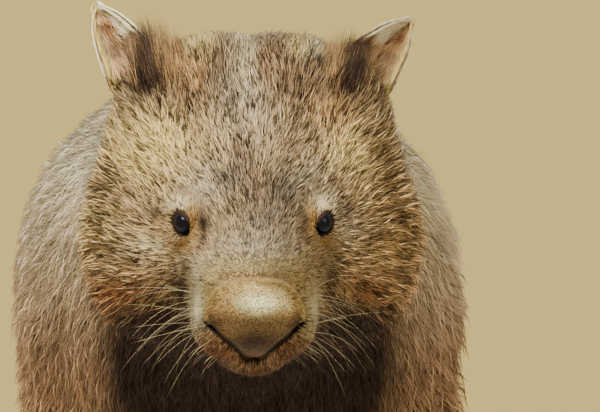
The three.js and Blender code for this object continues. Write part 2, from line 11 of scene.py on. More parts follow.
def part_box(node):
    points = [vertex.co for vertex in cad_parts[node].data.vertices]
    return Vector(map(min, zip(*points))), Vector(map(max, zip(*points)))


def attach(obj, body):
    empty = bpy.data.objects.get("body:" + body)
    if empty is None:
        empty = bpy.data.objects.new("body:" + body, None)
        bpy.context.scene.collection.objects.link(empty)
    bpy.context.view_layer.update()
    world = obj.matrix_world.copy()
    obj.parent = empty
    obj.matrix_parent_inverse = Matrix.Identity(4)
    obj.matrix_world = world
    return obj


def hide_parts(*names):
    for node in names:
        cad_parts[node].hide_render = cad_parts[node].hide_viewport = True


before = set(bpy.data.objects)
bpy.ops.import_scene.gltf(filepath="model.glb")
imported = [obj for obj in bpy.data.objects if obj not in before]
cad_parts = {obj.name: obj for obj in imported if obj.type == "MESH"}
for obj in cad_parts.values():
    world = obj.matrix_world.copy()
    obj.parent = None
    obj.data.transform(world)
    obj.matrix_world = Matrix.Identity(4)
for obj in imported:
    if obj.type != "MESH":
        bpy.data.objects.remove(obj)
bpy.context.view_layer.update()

# Shapes are worked out in millimetres in the animal's own frame: it faces -Y and its left is +X.
SHIFT = np.array([34.4704, -55.6150, 0.0])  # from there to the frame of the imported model
EYE_MIDPOINT = np.array([0.0, -320.0, 242.0])
HEAD_YAW = math.radians(2)
HEAD_PITCH = math.radians(33)
SPINE_START = -278
SPINE_YAW = 0.06
SPINE_CURVE = 0.00005

rng = np.random.default_rng(7)


# Small sums


def ease(value, low, high):
    """Rises smoothly from 0 at the low value to 1 at the high one."""
    t = np.clip((value - low) / (high - low), 0, 1)
    return t * t * (3 - 2 * t)


def fade(value, low, high):
    return 1 - ease(value, low, high)


def hump(value, width):
    return np.exp(-(value / width) ** 2)


def dot(a, b):
    return np.einsum("ij,ij->i", a, b)


def size_of(v):
    return np.linalg.norm(v, axis=1)


def unit(v):
    return v / np.maximum(np.linalg.norm(v, axis=-1, keepdims=True), 1e-9)


# Fields: negative inside a form, growing with the distance from it


def ellipsoid(centre, radii):
    centre = np.array(centre, float)
    radii = np.array(radii, float)

    def field(p):
        q = (p - centre) / radii
        near = np.sqrt(dot(q, q))
        q = q / radii
        slope = np.sqrt(dot(q, q))
        return near * (near - 1) / np.maximum(slope, 1e-9)

    return field


def limb(start, start_radius, end, end_radius):
    start = np.array(start, float)
    line = np.array(end, float) - start

    def field(p):
        along = np.clip((p - start) @ line / (line @ line), 0, 1)
        away = size_of(p - start - along[:, None] * line)
        return away - (start_radius + (end_radius - start_radius) * along)

    return field


def smooth_lower(a, b, reach):
    near = np.maximum(reach - np.abs(a - b), 0) / reach
    return np.minimum(a, b) - near * near * reach / 4


def blend(reach, *fields):
    def field(p):
        value = fields[0](p)
        for other in fields[1:]:
            value = smooth_lower(value, other(p), reach)
        return value

    return field


def pair(field):
    return lambda p: field(np.abs(p * [1, 0, 0]) + p * [0, 1, 1])


def spine_shift(y):
    back = np.maximum(0, y - SPINE_START)
    return -SPINE_YAW * back - SPINE_CURVE * back * back


def straight(field):
    def moved(p):
        q = p.copy()
        q[:, 0] -= spine_shift(p[:, 1])
        return field(q)

    return moved


def turned(angle, axis):
    c = math.cos(angle)
    s = math.sin(angle)
    if axis == "z":
        return np.array([[c, -s, 0], [s, c, 0], [0, 0, 1.0]])
    return np.array([[1.0, 0, 0], [0, c, -s], [0, s, c]])


FACE = turned(HEAD_YAW, "z")
SNOUT = FACE @ turned(HEAD_PITCH, "x")


def in_frame(origin, axes, field):
    return lambda p: field((p - origin) @ axes)


def to_face(p):
    return (p - EYE_MIDPOINT) @ FACE


def from_face(q):
    return q @ FACE.T + EYE_MIDPOINT


FORE = {
    "hip": [96, -89, 148], "thick": 55, "knee": [111, -85, 100], "knee_radius": 41,
    "ankle": [98, -115], "ankle_radius": 31, "turn": -8, "toes": 5, "spread": 14.3,
    "knuckles": -28, "drawn_back": 3, "pads": [([0, -6, 20], [32, 31, 22])],
}
HIND = {
    "hip": [93, 316, 148], "thick": 59, "knee": [107, 322, 98], "knee_radius": 43,
    "ankle": [96, 350], "ankle_radius": 31, "turn": 6, "toes": 5, "spread": 12.5,
    "knuckles": -44, "drawn_back": 3,
    "pads": [([0, -20, 18], [28, 33, 20]), ([0, 13, 18], [24, 31, 20])],
}
LEGS = [
    ("foreleg_left", 1, FORE, -22),
    ("foreleg_right", -1, FORE, 11),
    ("hindleg_left", 1, HIND, 13),
    ("hindleg_right", -1, HIND, -24),
]
WRIST = 43
TOE_RADIUS = 8.5
TOE_LENGTH = 26
TOE_SUNK = 1.6

trunk = blend(
    56,
    ellipsoid([0, 90, 215], [117, 278, 141]),  # back
    ellipsoid([0, 98, 172], [150, 258, 126]),  # ribs and belly
    ellipsoid([0, 238, 181], [144, 206, 133]),  # flanks
    ellipsoid([0, -78, 196], [124, 148, 131]),  # chest
    ellipsoid([0, 326, 207], [118, 158, 139]),  # rump
    limb([0, -120, 231], 113, [0, -199, 244], 104),  # neck
    pair(ellipsoid([81, -91, 181], [65, 85, 96])),  # shoulder
    pair(ellipsoid([80, 322, 172], [65, 112, 104])),  # thigh
)
skull_form = blend(
    22,
    ellipsoid([0, 85, 50], [80, 74, 65]),  # brain case
    pair(ellipsoid([29, 85, 74], [38, 52, 44])),  # the two swells of the crown
    pair(ellipsoid([61, 57, 57], [30, 41, 44])),  # where the ears stand
    pair(ellipsoid([54, 54, -11], [53, 61, 67])),  # cheeks
    ellipsoid([0, 37, 17], [54, 57, 50]),  # forehead
    ellipsoid([0, 52, -48], [46, 72, 42]),  # throat
)
muzzle_form = blend(
    13,
    ellipsoid([0, -43, -18], [36, 44, 33]),
    ellipsoid([0, -6, -4], [39, 57, 28]),  # bridge
    pair(ellipsoid([18, -61, -31], [19, 22, 18])),  # upper lips
    ellipsoid([0, -31, -51], [30, 48, 19]),  # lower jaw
)


def leg_form(side, kind, stride):
    ankle = np.array([side * kind["ankle"][0], kind["ankle"][1] + stride, WRIST - 15.0])
    knee_x, knee_y, knee_z = kind["knee"]
    knee = [side * knee_x, knee_y + stride / 2, knee_z]
    hip_x, hip_y, hip_z = kind["hip"]
    return blend(
        19,
        limb([side * hip_x, hip_y, hip_z], kind["thick"], knee, kind["knee_radius"]),
        limb(knee, kind["knee_radius"], ankle, kind["ankle_radius"]),
    )


def toe_end(kind, off):
    """The tip of a toe, by its number from the middle one, in the frame of its paw."""
    back = kind["drawn_back"] * off * off
    return [off * kind["spread"] * 1.12, kind["knuckles"] - TOE_LENGTH + back, TOE_RADIUS - TOE_SUNK]


def paw_frame(side, kind, stride):
    """Where a paw stands, and its own axes."""
    y = kind["ankle"][1] + stride
    origin = np.array([side * kind["ankle"][0] + spine_shift(y), y, 0])
    return origin, turned(math.radians(side * kind["turn"]), "z")


def paw_form(side, kind, stride):
    toes = []
    for n in range(kind["toes"]):
        off = n - (kind["toes"] - 1) / 2
        start = [off * kind["spread"] * 0.8, kind["knuckles"] + kind["drawn_back"] * off * off * 0.5, 12]
        toes.append(limb(start, TOE_RADIUS + 1.4, toe_end(kind, off), TOE_RADIUS))
    pads = blend(15, *[ellipsoid(centre, radii) for centre, radii in kind["pads"]])
    toes = blend(3, *toes)

    def field(p):
        return smooth_lower(pads(p), toes(p), 8)

    return in_frame(*paw_frame(side, kind, stride), field)


head_forms = [in_frame(EYE_MIDPOINT, FACE, skull_form), in_frame(EYE_MIDPOINT, SNOUT, muzzle_form)]
leg_forms = [straight(leg_form(side, kind, stride)) for _, side, kind, stride in LEGS]
paw_forms = [paw_form(side, kind, stride) for _, side, kind, stride in LEGS]
legged = blend(28, straight(trunk), *head_forms, *leg_forms)
tail_form = straight(limb([0, 455, 243], 14, [0, 492, 218], 7.7))


def outline(p):
    """The tips of the coat, as the solids have them."""
    value = legged(p)
    for paw in paw_forms:
        value = smooth_lower(value, paw(p), 11)
    return smooth_lower(value, tail_form(p), 6)


def in_chunks(field, p, size=16384):
    out = np.empty(len(p))
    for start in range(0, len(p), size):
        out[start:start + size] = field(p[start:start + size])
    return out


def slope_of(field, p, step=0.4):
    value = in_chunks(field, p)
    slope = np.empty_like(p)
    for axis in range(3):
        q = p.copy()
        q[:, axis] += step
        slope[:, axis] = (in_chunks(field, q) - value) / step
    return value, slope


def settle(field, p, turns=2, below=0):
    """Moves points along the slope of a field onto its surface, or to a depth below it."""
    for _ in range(turns):
        value, slope = slope_of(field, p)
        p = p - slope * ((value + below) / np.maximum(dot(slope, slope), 0.05))[:, None]
    return p


def noise(p, scale, seed):
    """Smooth noise of a place in space, from -1 to 1."""
    q = p / scale + seed * 17.31
    cell = np.floor(q).astype(np.int64)
    part = q - cell
    part = part * part * (3 - 2 * part)
    total = np.zeros(len(p))
    for corner in range(8):
        bits = np.array([corner & 1, corner >> 1 & 1, corner >> 2 & 1])
        at = cell + bits
        mixed = at[:, 0] * 73856093 ^ at[:, 1] * 19349663 ^ at[:, 2] * 83492791 ^ seed * 2654435761
        mixed = (mixed ^ mixed >> 13) * 1274126177
        value = ((mixed ^ mixed >> 16) & 0xFFFF) / 32767.5 - 1
        weight = np.prod(np.where(bits, part, 1 - part), axis=1)
        total += value * weight
    return total


# Measures of the face, in its own upright frame between the eyes

SIDES = (1, -1)
EYE_INSET = 1.6
EYE_RADIUS = 8.0
EYE_AXIS = np.array([0.57, -0.81, -0.14])
EYE_TILT = math.radians(45)
WHORL = np.array([0, -66, -38])  # the place on the nose that the hair of the head runs away from


def eye_centre(side):
    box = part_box("eye_left" if side > 0 else "eye_right")
    middle = (np.array(box[0]) + np.array(box[1])) / 2 * 1000 - SHIFT
    return middle + FACE @ [side * EYE_INSET, 0, 0]


def eye_away(p, side):
    return size_of(p - eye_centre(side))


def whorl_away(q):
    return size_of(q - WHORL)


def depth_of(p):
    """How deep the skin lies under the tips of the coat."""
    away = whorl_away(to_face(p))
    depth = 0.5 + 1.7 * ease(away, 18, 50) + 3.6 * ease(away, 45, 110) + 4.2 * ease(away, 100, 190)
    depth = depth + 3.0 * ease(p[:, 1], -250, -120)
    for side in SIDES:
        depth = depth * (0.45 + 0.55 * ease(eye_away(p, side), 10, 32))
    depth = depth * (0.16 + 0.84 * ease(p[:, 2], 34, 120))
    return depth * (1 - 0.45 * ease(p[:, 1], 440, 480))


def skin_field(p):
    return np.maximum(outline(p) + depth_of(p), 0.5 - p[:, 2])


# Meshes


def link(name, data):
    thing = bpy.data.objects.new(name, data)
    bpy.context.scene.collection.objects.link(thing)
    return thing


def surface_nets(field, low, high, pitch):
    """The closed surface of a field inside a box, one vertex in each cell that it crosses."""
    axes = [np.arange(a, b + pitch, pitch) for a, b in zip(low, high)]
    shape = [len(a) for a in axes]
    grid = np.stack(np.meshgrid(*axes, indexing="ij"), -1).reshape(-1, 3)
    values = in_chunks(field, grid).reshape(shape)
    inside = values < 0
    corners = [(i, j, k) for i in (0, 1) for j in (0, 1) for k in (0, 1)]
    cells = [n - 1 for n in shape]

    def shifted(block, corner):
        i, j, k = corner
        return block[i:i + cells[0], j:j + cells[1], k:k + cells[2]]

    count = sum(shifted(inside, c).astype(int) for c in corners)
    active = (count > 0) & (count < 8)
    index = np.full(cells, -1)
    index[active] = np.arange(active.sum())
    where = np.argwhere(active)
    total = np.zeros((len(where), 3))
    crossings = np.zeros(len(where))
    for first in corners:
        for axis in range(3):
            if first[axis]:
                continue
            second = list(first)
            second[axis] = 1
            a = values[tuple((where + first).T)]
            b = values[tuple((where + second).T)]
            crossed = (a < 0) != (b < 0)
            t = np.where(crossed, a / np.where(a == b, 1, a - b), 0)
            at = where + first + t[:, None] * np.eye(3)[axis]
            total += at * crossed[:, None]
            crossings += crossed
    points = np.array(low) + pitch * total / crossings[:, None]
    quads = []
    for axis in range(3):
        u, v = (axis + 1) % 3, (axis + 2) % 3
        here = [slice(None)] * 3
        there = [slice(None)] * 3
        here[axis] = slice(0, -1)
        there[axis] = slice(1, None)
        change = inside[tuple(here)] != inside[tuple(there)]
        edge = np.argwhere(change)
        edge = edge[(edge[:, u] > 0) & (edge[:, v] > 0) & (edge[:, u] < cells[u]) & (edge[:, v] < cells[v])]
        du = np.eye(3, dtype=int)[u]
        dv = np.eye(3, dtype=int)[v]
        ring = [edge - du - dv, edge - dv, edge, edge - du]
        quad = np.stack([index[tuple(c.T)] for c in ring], 1)
        flipped = ~inside[tuple(edge.T)]
        quad[flipped] = quad[flipped][:, ::-1]
        quads.append(quad)
    quads = np.concatenate(quads)
    return points, np.concatenate([quads[:, [0, 1, 2]], quads[:, [0, 2, 3]]])


# The triangles that take the place of one, by which of its edges are split: 1 is the first edge, 3 the
# first two and 7 all three. Their corners are 0 to 2 and the middles of their edges 3 to 5
SPLITS = {
    0: [[0, 1, 2]],
    1: [[0, 3, 2], [3, 1, 2]],
    3: [[3, 1, 4], [0, 3, 4], [0, 4, 2]],
    7: [[0, 3, 5], [3, 1, 4], [5, 4, 2], [3, 4, 5]],
}
SPLIT_ORDER = [(0, 0), (0, 1), (0, 3), (1, 1), (1, 3), (2, 1), (2, 3), (0, 7)]


def refine(points, triangles, target, field, passes):
    """Splits edges that are longer than the target at their middle, and settles the new points."""
    for _ in range(passes):
        edges = np.sort(triangles[:, [[0, 1], [1, 2], [2, 0]]].reshape(-1, 2), axis=1)
        edges, back = np.unique(edges, axis=0, return_inverse=True)
        back = back.reshape(-1, 3)
        middle = points[edges].mean(1)
        length = size_of(points[edges[:, 0]] - points[edges[:, 1]])
        split = length > target(middle)
        if not split.any():
            break
        number = np.full(len(edges), -1)
        number[split] = len(points) + np.arange(split.sum())
        points = np.concatenate([points, settle(field, middle[split])])
        cut = number[back]
        made = []
        for turn, case in SPLIT_ORDER:
            six = np.concatenate([np.roll(triangles, -turn, axis=1), np.roll(cut, -turn, axis=1)], 1)
            chosen = six[(six[:, 3:] >= 0) @ [1, 2, 4] == case]
            made += [chosen[:, part] for part in SPLITS[case]]
        triangles = np.concatenate(made)
    return points, triangles


def target_edge(p):
    """How long an edge of the skin may be: short at the eyes, the nose and the feet."""
    q = to_face(p)
    size = 8.5 - 4.0 * fade(q[:, 1], 20, 90)
    size = size - 3.0 * fade(size_of((q - [0, -55, -55]) / [1, 1, 1.1]), 38, 62)
    for side in SIDES:
        size = np.minimum(size, 8.5 - 7.3 * fade(eye_away(p, side), 16, 30))
    return np.where(p[:, 2] < 40, np.minimum(size, 4.5), size)


def mesh_of(name, points, faces):
    """A Blender object from arrays of places in millimetres and of corners."""
    sides = faces.shape[1]
    mesh = bpy.data.meshes.new(name)
    mesh.vertices.add(len(points))
    mesh.vertices.foreach_set("co", ((points + SHIFT) / 1000).astype(np.float32).ravel())
    mesh.loops.add(faces.size)
    mesh.loops.foreach_set("vertex_index", faces.astype(np.int32).ravel())
    mesh.polygons.add(len(faces))
    mesh.polygons.foreach_set("loop_start", np.arange(0, faces.size, sides, dtype=np.int32))
    mesh.polygons.foreach_set("use_smooth", np.ones(len(faces), bool))
    mesh.update(calc_edges=True)
    return link(name, mesh)


def tint_mesh(piece, colours):
    layer = piece.data.color_attributes.new("Tint", "FLOAT_COLOR", "POINT")
    four = np.ones((len(colours), 4), np.float32)
    four[:, :3] = colours
    layer.data.foreach_set("color", four.ravel())


def tube_faces(rings, around):
    """A closed tube of rings, whose two end points come after them."""
    n = np.arange(around)
    m = (n + 1) % around
    band = np.concatenate([np.stack([n, m, m + around], 1), np.stack([n, m + around, n + around], 1)])
    last = (rings - 1) * around
    end = 0 * n + rings * around
    fans = [np.stack([end, m, n], 1), np.stack([end + 1, last + n, last + m], 1)]
    return np.concatenate([band + k * around for k in range(rings - 1)] + fans)


# Markings and painted shade, as colours of light reflected

TAN = np.array([0.40, 0.27, 0.13])
GOLD = np.array([0.74, 0.57, 0.20])
AMBER = np.array([0.42, 0.235, 0.085])
STRAW = np.array([0.90, 0.77, 0.46])
GREY = np.array([0.25, 0.205, 0.15])
SLATE = np.array([0.095, 0.078, 0.066])
LILAC = np.array([0.52, 0.44, 0.31])
BROWN = np.array([0.17, 0.10, 0.055])
EARTH = np.array([0.11, 0.065, 0.04])
DARK = np.array([0.026, 0.016, 0.012])
RUFOUS = np.array([0.26, 0.098, 0.036])
CREAM = np.array([0.90, 0.80, 0.50])
UMBER = np.array([0.27, 0.165, 0.08])
HONEY = np.array([0.29, 0.16, 0.045])
IVORY = np.array([0.95, 0.88, 0.64])

# Patches on the head, some of them painted shade: across to the animal's left and up in the frame of the
# face, half sizes, colour and strength
HEAD_MARKS_AND_SHADE = [
    (0, 62, 30, 24, LILAC, 0.45),
    (-38, 88, 22, 28, UMBER * 0.6, 0.95), (37, 88, 21, 24, UMBER * 0.65, 0.95),
    (-63, 49, 28, 20, GOLD, 0.90), (-74, 38, 14, 8, GOLD, 0.5), (-93, 38, 8, 16, BROWN, 0.7),
    (-6, 46, 7, 11, BROWN, 0.85), (-14, 30, 14, 13, SLATE, 0.80), (18, 24, 20, 14, SLATE, 0.75),
    (8, 8, 24, 11, SLATE, 0.70), (2, 28, 8, 10, BROWN, 0.5), (-32, 25, 12, 12, LILAC, 0.75),
    (37, 33, 12, 12, LILAC, 0.55), (22, 52, 12, 10, BROWN, 0.35), (50, 68, 16, 9, AMBER, 0.6),
    (59, 47, 16, 11, GOLD, 0.75), (72, 36, 12, 12, GOLD, 0.35), (88, 42, 9, 18, BROWN, 0.65),
    (-60, 8, 8, 6, DARK, 0.70), (56, 9, 9, 6, SLATE, 0.65),
    (-65, -13, 12, 7, CREAM, 0.5), (-75, -19, 8, 6, BROWN, 0.6), (58, -4, 9, 8, LILAC, 0.7),
    # The last mark on this line and the first on the next are painted shade on the cheeks beside the
    # muzzle.
    (0, -12, 30, 12, LILAC, 0.75), (-34, -25, 9, 10, LILAC * 1.4, 0.8), (-48, -34, 9, 12, DARK, 0.72),
    (49, -30, 8, 13, SLATE, 0.85), (-100, 3, 16, 14, GOLD, 0.35), (86, 20, 14, 20, AMBER, 0.35),
    (90, -14, 14, 16, AMBER, 0.5), (-84, -44, 22, 13, RUFOUS, 0.80), (72, -42, 18, 13, RUFOUS, 0.80),
    # Painted shade on the lower cheeks beside the muzzle.
    (-54, -60, 20, 14, DARK * 1.4, 0.98), (56, -62, 20, 15, DARK * 1.4, 0.98),
    # Painted shade along the sides of the muzzle.
    (-43, -42, 5, 22, DARK, 0.92), (46, -40, 5, 20, BROWN * 0.7, 0.8),
    (-14, 84, 11, 18, GREY, 0.6), (-1, 80, 8, 20, LILAC, 0.4), (-2, 105, 9, 14, CREAM, 0.3),
    (-40, 96, 13, 17, AMBER, 0.60), (-34, 116, 11, 9, GOLD, 0.9), (-48, 78, 13, 9, BROWN, 0.5),
    (9, 102, 7, 16, RUFOUS, 0.5), (19, 108, 9, 12, BROWN, 0.75), (30, 113, 7, 7, GOLD, 0.75),
    (43, 109, 9, 6, CREAM, 0.6), (35, 87, 18, 15, BROWN, 0.65), (55, 77, 12, 8, AMBER, 0.6),
    (-61, 102, 10, 16, DARK, 0.98), (-69, 86, 12, 10, DARK, 0.95), (55, 99, 9, 14, DARK, 0.98),
    (61, 86, 9, 12, DARK, 0.97),
    (-44.5, 15, 8, 5.5, CREAM, 0.85), (42.5, 14, 7, 6.5, CREAM * 1.1, 1.0),
    (-36.5, 2, 5, 12, HONEY * 1.6, 0.97), (35.5, 4, 5, 12, HONEY * 1.3, 0.97),
    (-42, -12, 9, 4, HONEY, 0.8), (44, -9, 7, 5, HONEY, 0.8),
    # Painted shade in the creases on the inner side of the eyes.
    (-30.5, 2, 4.2, 11, DARK, 1.0), (31, 3, 2.6, 9, DARK, 0.7),
    (0, -23, 30, 7, STRAW * [0.95, 0.86, 0.62], 0.8), (0, -28, 24, 3.2, AMBER, 0.85),
    (-25, -34, 8, 9, STRAW * [0.8, 0.68, 0.42], 0.75), (26, -34, 8, 10, STRAW * [0.8, 0.66, 0.42], 0.75),
    (-27, -46, 4, 15, GOLD * 0.9, 0.8), (31, -48, 4, 15, STRAW * [0.75, 0.66, 0.5], 0.85),
    (-34.5, -49, 4, 16, IVORY, 1.0), (36.5, -48, 3.5, 15, CREAM * 0.95, 0.97),
    (22, -76, 17, 12, RUFOUS * 0.85, 0.95), (-22, -76, 17, 12, RUFOUS, 0.95),
    # The dark marks on this line and the next three are painted shade under the chin, the jaw and the lower
    # cheeks; the red-brown of the lower lip is its own colour.
    (13, -90, 14, 6, DARK * 1.6, 0.9), (-13, -90, 14, 6, DARK * 1.6, 0.9),
    (27, -83, 9, 7, DARK * 1.8, 0.85), (-27, -83, 9, 7, DARK * 1.8, 0.85),
    (0, -114, 80, 22, DARK, 0.99), (56, -88, 34, 26, DARK, 0.99), (-56, -88, 34, 26, DARK, 0.99),
    (33, -92, 14, 10, DARK, 0.95), (-33, -92, 14, 10, DARK, 0.95), (0, -89, 13, 5, RUFOUS * 0.45, 0.95),
    (88, -66, 20, 14, RUFOUS, 0.6), (-96, -62, 18, 14, RUFOUS, 0.7),
]


def painted(colour, paint, amount):
    """The colour of each place, drawn towards a paint by an amount of its own."""
    return colour + (paint - colour) * amount[:, None]


def marking_and_shade(p):
    """The colour of skin and coat at a place, with painted shade under the head."""
    q = to_face(p)
    across = np.abs(q[:, 0])
    body = ease(p[:, 1], -285, -200)
    upper = ease(p[:, 2], 110, 300)[:, None]
    body_base = BROWN * 2.4 * (1 - upper) + LILAC * [1.55, 1.66, 1.78] * upper
    body_base = painted(body_base, LILAC * 0.72, 0.85 * ease(p[:, 2], 262, 325))
    crown = ease(q[:, 2], 55, 92)[:, None]
    colour = TAN * (1 - 0.35 * crown) * (1 - body[:, None]) + body_base * body[:, None]
    colour = colour * (1 + 0.22 * noise(p, 34, 3)[:, None])
    front = fade(q[:, 1], 100, 150)
    at_ears = fade(q[:, 1], 58, 88)
    for x, z, wide, tall, paint, strength in HEAD_MARKS_AND_SHADE:
        off = np.hypot((q[:, 0] - x) / wide, (q[:, 2] - z) / tall)
        depth = at_ears if abs(x) > 50 and z > 70 else front
        colour = painted(colour, paint, strength * np.exp(-off ** 2) * depth)
    ahead = fade(p[:, 1], -190, -110)
    # Throat and chest: their own dark brown, deepened as painted shade cast by the head.
    throat = ease(q[:, 1], -6, 18) * fade(q[:, 2], -62, -46) * ahead * fade(across, 74, 100)
    colour = painted(colour, DARK * 1.7, 0.97 * throat)
    # Painted shade on the chest under the head, over its own dark brown.
    chest = ahead * fade(p[:, 2], 150, 205) * body * (1 - 0.85 * ease(across, 74, 112))
    colour = painted(colour, DARK * 1.8, np.minimum(1.15 * chest, 0.99))
    return painted(colour, EARTH * 0.8, 0.8 * fade(p[:, 2], 20, 90))


# Materials


def put(node, values):
    for key, value in values.items():
        node.inputs[key].default_value = value


def add_node(tree, kind, settings, values, sources):
    """A new node with its settings and values, and the outputs that lead into it."""
    node = tree.nodes.new(kind)
    for key, value in settings.items():
        setattr(node, key, value)
    put(node, values)
    for key, source in sources.items():
        tree.links.new(source, node.inputs[key])
    return node


def new_material(name, finish):
    material = bpy.data.materials.new(name)
    material.use_nodes = True
    shader = material.node_tree.nodes["Principled BSDF"]
    put(shader, finish)
    return material, material.node_tree, shader


def tint_of(tree):
    return add_node(tree, "ShaderNodeAttribute", {"attribute_name": "Tint"}, {}, {}).outputs["Color"]


def texture(tree, kind, values, stretch=(1, 1, 1)):
    """A texture that follows the object's own measures, in metres."""
    coords = tree.nodes.new("ShaderNodeTexCoord").outputs["Object"]
    squeeze = add_node(tree, "ShaderNodeMapping", {}, {"Scale": stretch}, {"Vector": coords})
    return add_node(tree, kind, {}, values, {"Vector": squeeze.outputs["Vector"]})


def patterned_material(name, pattern_in, tones, relief, finish):
    """The piece's own tint, made lighter, darker and uneven by a fine pattern."""
    material, tree, shader = new_material(name, finish)
    pattern = pattern_in(tree)
    shade = add_node(tree, "ShaderNodeMapRange", {}, tones, {"Value": pattern}).outputs["Result"]
    sources = {0: tint_of(tree), "Scale": shade}
    toned = add_node(tree, "ShaderNodeVectorMath", {"operation": "SCALE"}, {}, sources)
    bump = add_node(tree, "ShaderNodeBump", {}, relief, {"Height": pattern})
    tree.links.new(toned.outputs["Vector"], shader.inputs["Base Color"])
    tree.links.new(bump.outputs["Normal"], shader.inputs["Normal"])
    return material


def skin_grain(tree):
    return texture(tree, "ShaderNodeTexNoise", {"Scale": 900, "Detail": 4}).outputs["Fac"]


def nose_grain(tree):
    cells = texture(tree, "ShaderNodeTexVoronoi", {"Scale": 1100}).outputs["Distance"]
    blots = texture(tree, "ShaderNodeTexNoise", {"Scale": 600, "Detail": 3}).outputs["Fac"]
    both = add_node(tree, "ShaderNodeMath", {"operation": "MULTIPLY_ADD"}, {1: -1.1}, {0: cells, 2: blots})
    return both.outputs["Value"]


def horn_grain(tree):
    return texture(tree, "ShaderNodeTexNoise", {"Scale": 1500, "Detail": 3}, (1, 0.12, 1)).outputs["Fac"]


hide = patterned_material(
    "skin", skin_grain, {"To Min": 0.45, "To Max": 1.15},
    {"Strength": 0.6, "Distance": 0.001}, {"Roughness": 0.8, "Specular IOR Level": 0.1},
)
leather = patterned_material(
    "nose", nose_grain, {"From Min": -0.35, "From Max": 0.55, "To Min": 0.35, "To Max": 1.55},
    {"Strength": 0.7, "Distance": 0.0007}, {"Roughness": 0.5, "Specular IOR Level": 0.14},
)
horn = patterned_material(
    "horn", horn_grain, {"To Min": 0.45, "To Max": 1.5},
    {"Strength": 0.4, "Distance": 0.0004}, {"Roughness": 0.38},
)
gloss = new_material("eye", {
    "Base Color": (0.004, 0.003, 0.004, 1), "Roughness": 0.05,
    "Specular IOR Level": 0.25, "Specular Tint": (0.5, 0.62, 1.0, 1),
})[0]
fur, fur_tree, fur_shader = new_material("coat", {"Roughness": 0.6, "Specular IOR Level": 0.06})
fur_tree.links.new(tint_of(fur_tree), fur_shader.inputs["Base Color"])

# The skin

SKIN_SPACE = ([-224, -404, -4], [188, 512, 394])
SKIN_PITCH = 6.0
PAD_SPACE = ([-34, -92, -86], [34, -42, -26])
PAD_PITCH = 1.0
EYE_LONG = 7.3  # half the opening's length
EYE_HIGH = 4.9
# The outline of the bare nose: across and up in the frame of the face, from its top to its tip
PAD = np.array([
    [0, -28.4], [12, -29], [20, -32.4], [25.5, -38.4], [28.8, -46.4], [30.2, -53.7],
    [24.5, -59.4], [17.5, -65.2], [10.5, -70.9], [5.5, -76.4], [0, -78.4],
])
NOSTRIL = {
    "place": np.array([25.0, -58.0]), "long": 5.2, "wide": 0.85, "deep": 4.5, "slope": math.radians(41),
}
PHILTRUM = [[0, -76], [0, -88]]
MOUTH = [[0, -87.5], [9, -89], [19, -86.5], [28, -79], [34, -69]]


def eye_frame(side):
    """The eye's centre and its own axes in the frame of the face: long, short and forward."""
    axis = unit(EYE_AXIS * [side, 1, 1])
    back = unit(np.array([-axis[1] * side, axis[0] * side, 0]))
    up = np.cross(axis, back) * side
    long = back * math.cos(EYE_TILT) + up * math.sin(EYE_TILT)
    return to_face(eye_centre(side)[None])[0], long, np.cross(axis, long), axis


def eye_distance(q, side):
    """How far out of the eye's opening a place lies, as a share of the opening's size."""
    centre, long, short, axis = eye_frame(side)
    off = q - centre
    flat = np.hypot(off @ long / EYE_LONG, off @ short / EYE_HIGH)
    return np.where(off @ axis > -4, flat, 9.0)


def pad_outline():
    ring = np.concatenate([PAD, PAD[-2:0:-1] * [-1, 1]])
    for _ in range(2):
        after = np.roll(ring, -1, axis=0)
        ring = np.stack([0.75 * ring + 0.25 * after, 0.25 * ring + 0.75 * after], 1).reshape(-1, 2)
    return ring


def distance_to_line(path, flat):
    best = np.full(len(flat), 1e9)
    for a, b in zip(path, path[1:]):
        line = np.subtract(b, a)
        along = np.clip((flat - a) @ line / (line @ line), 0, 1)
        away = flat - a - along[:, None] * line
        best = np.minimum(best, dot(away, away))
    return np.sqrt(best)


pad_ring = pad_outline()


def outside_pad(flat):
    """Signed distance in the plane of the face to the outline of the nose, negative inside."""
    inside = np.zeros(len(flat), bool)
    for a, b in zip(pad_ring, np.roll(pad_ring, -1, axis=0)):
        crosses = (a[1] > flat[:, 1]) != (b[1] > flat[:, 1])
        rise = b[1] - a[1] if b[1] != a[1] else 1e-9
        inside ^= crosses & (flat[:, 0] < a[0] + (flat[:, 1] - a[1]) * (b[0] - a[0]) / rise)
    away = distance_to_line([*pad_ring, pad_ring[0]], flat)
    return np.where(inside, -away, away)


def mirrored(flat):
    return np.abs(flat * [1, 0]) + flat * [0, 1]


def nostril_share(flat):
    """Below 1 inside the opening of a nostril, seen from the front."""
    c, s = math.cos(NOSTRIL["slope"]), math.sin(NOSTRIL["slope"])
    off = mirrored(flat) - NOSTRIL["place"]
    along = off @ [c, s]
    across = off @ [-s, c]
    wide = NOSTRIL["wide"] * (1 + 0.45 * np.clip(along / NOSTRIL["long"], -1, 1))
    return np.hypot(along / NOSTRIL["long"], across / wide)


def carve(q):
    """How deep the skin is drawn in at the eyes, nose, nostrils and mouth, and which way."""
    flat = q[:, [0, 2]]
    edge = outside_pad(flat)
    depth = 3.5 * hump(distance_to_line(PHILTRUM, flat), 2.0)
    depth += 2.2 * hump(distance_to_line(MOUTH, mirrored(flat)), 1.3)
    depth += (3.0 * fade(edge, -2.2, 0.4) + 1.6 * hump(edge - 0.4, 1.2)) * fade(q[:, 2], -55.5, -47.5)
    depth += NOSTRIL["deep"] * fade(nostril_share(flat), 0.8, 1.25)
    inward = np.zeros_like(q)
    inward[:, 1] += depth * fade(q[:, 1], -40, -25)
    for side in SIDES:
        pit = 7.0 * fade(eye_distance(q, side), 1.05, 1.45)
        inward -= eye_frame(side)[3] * pit[:, None]
    return inward


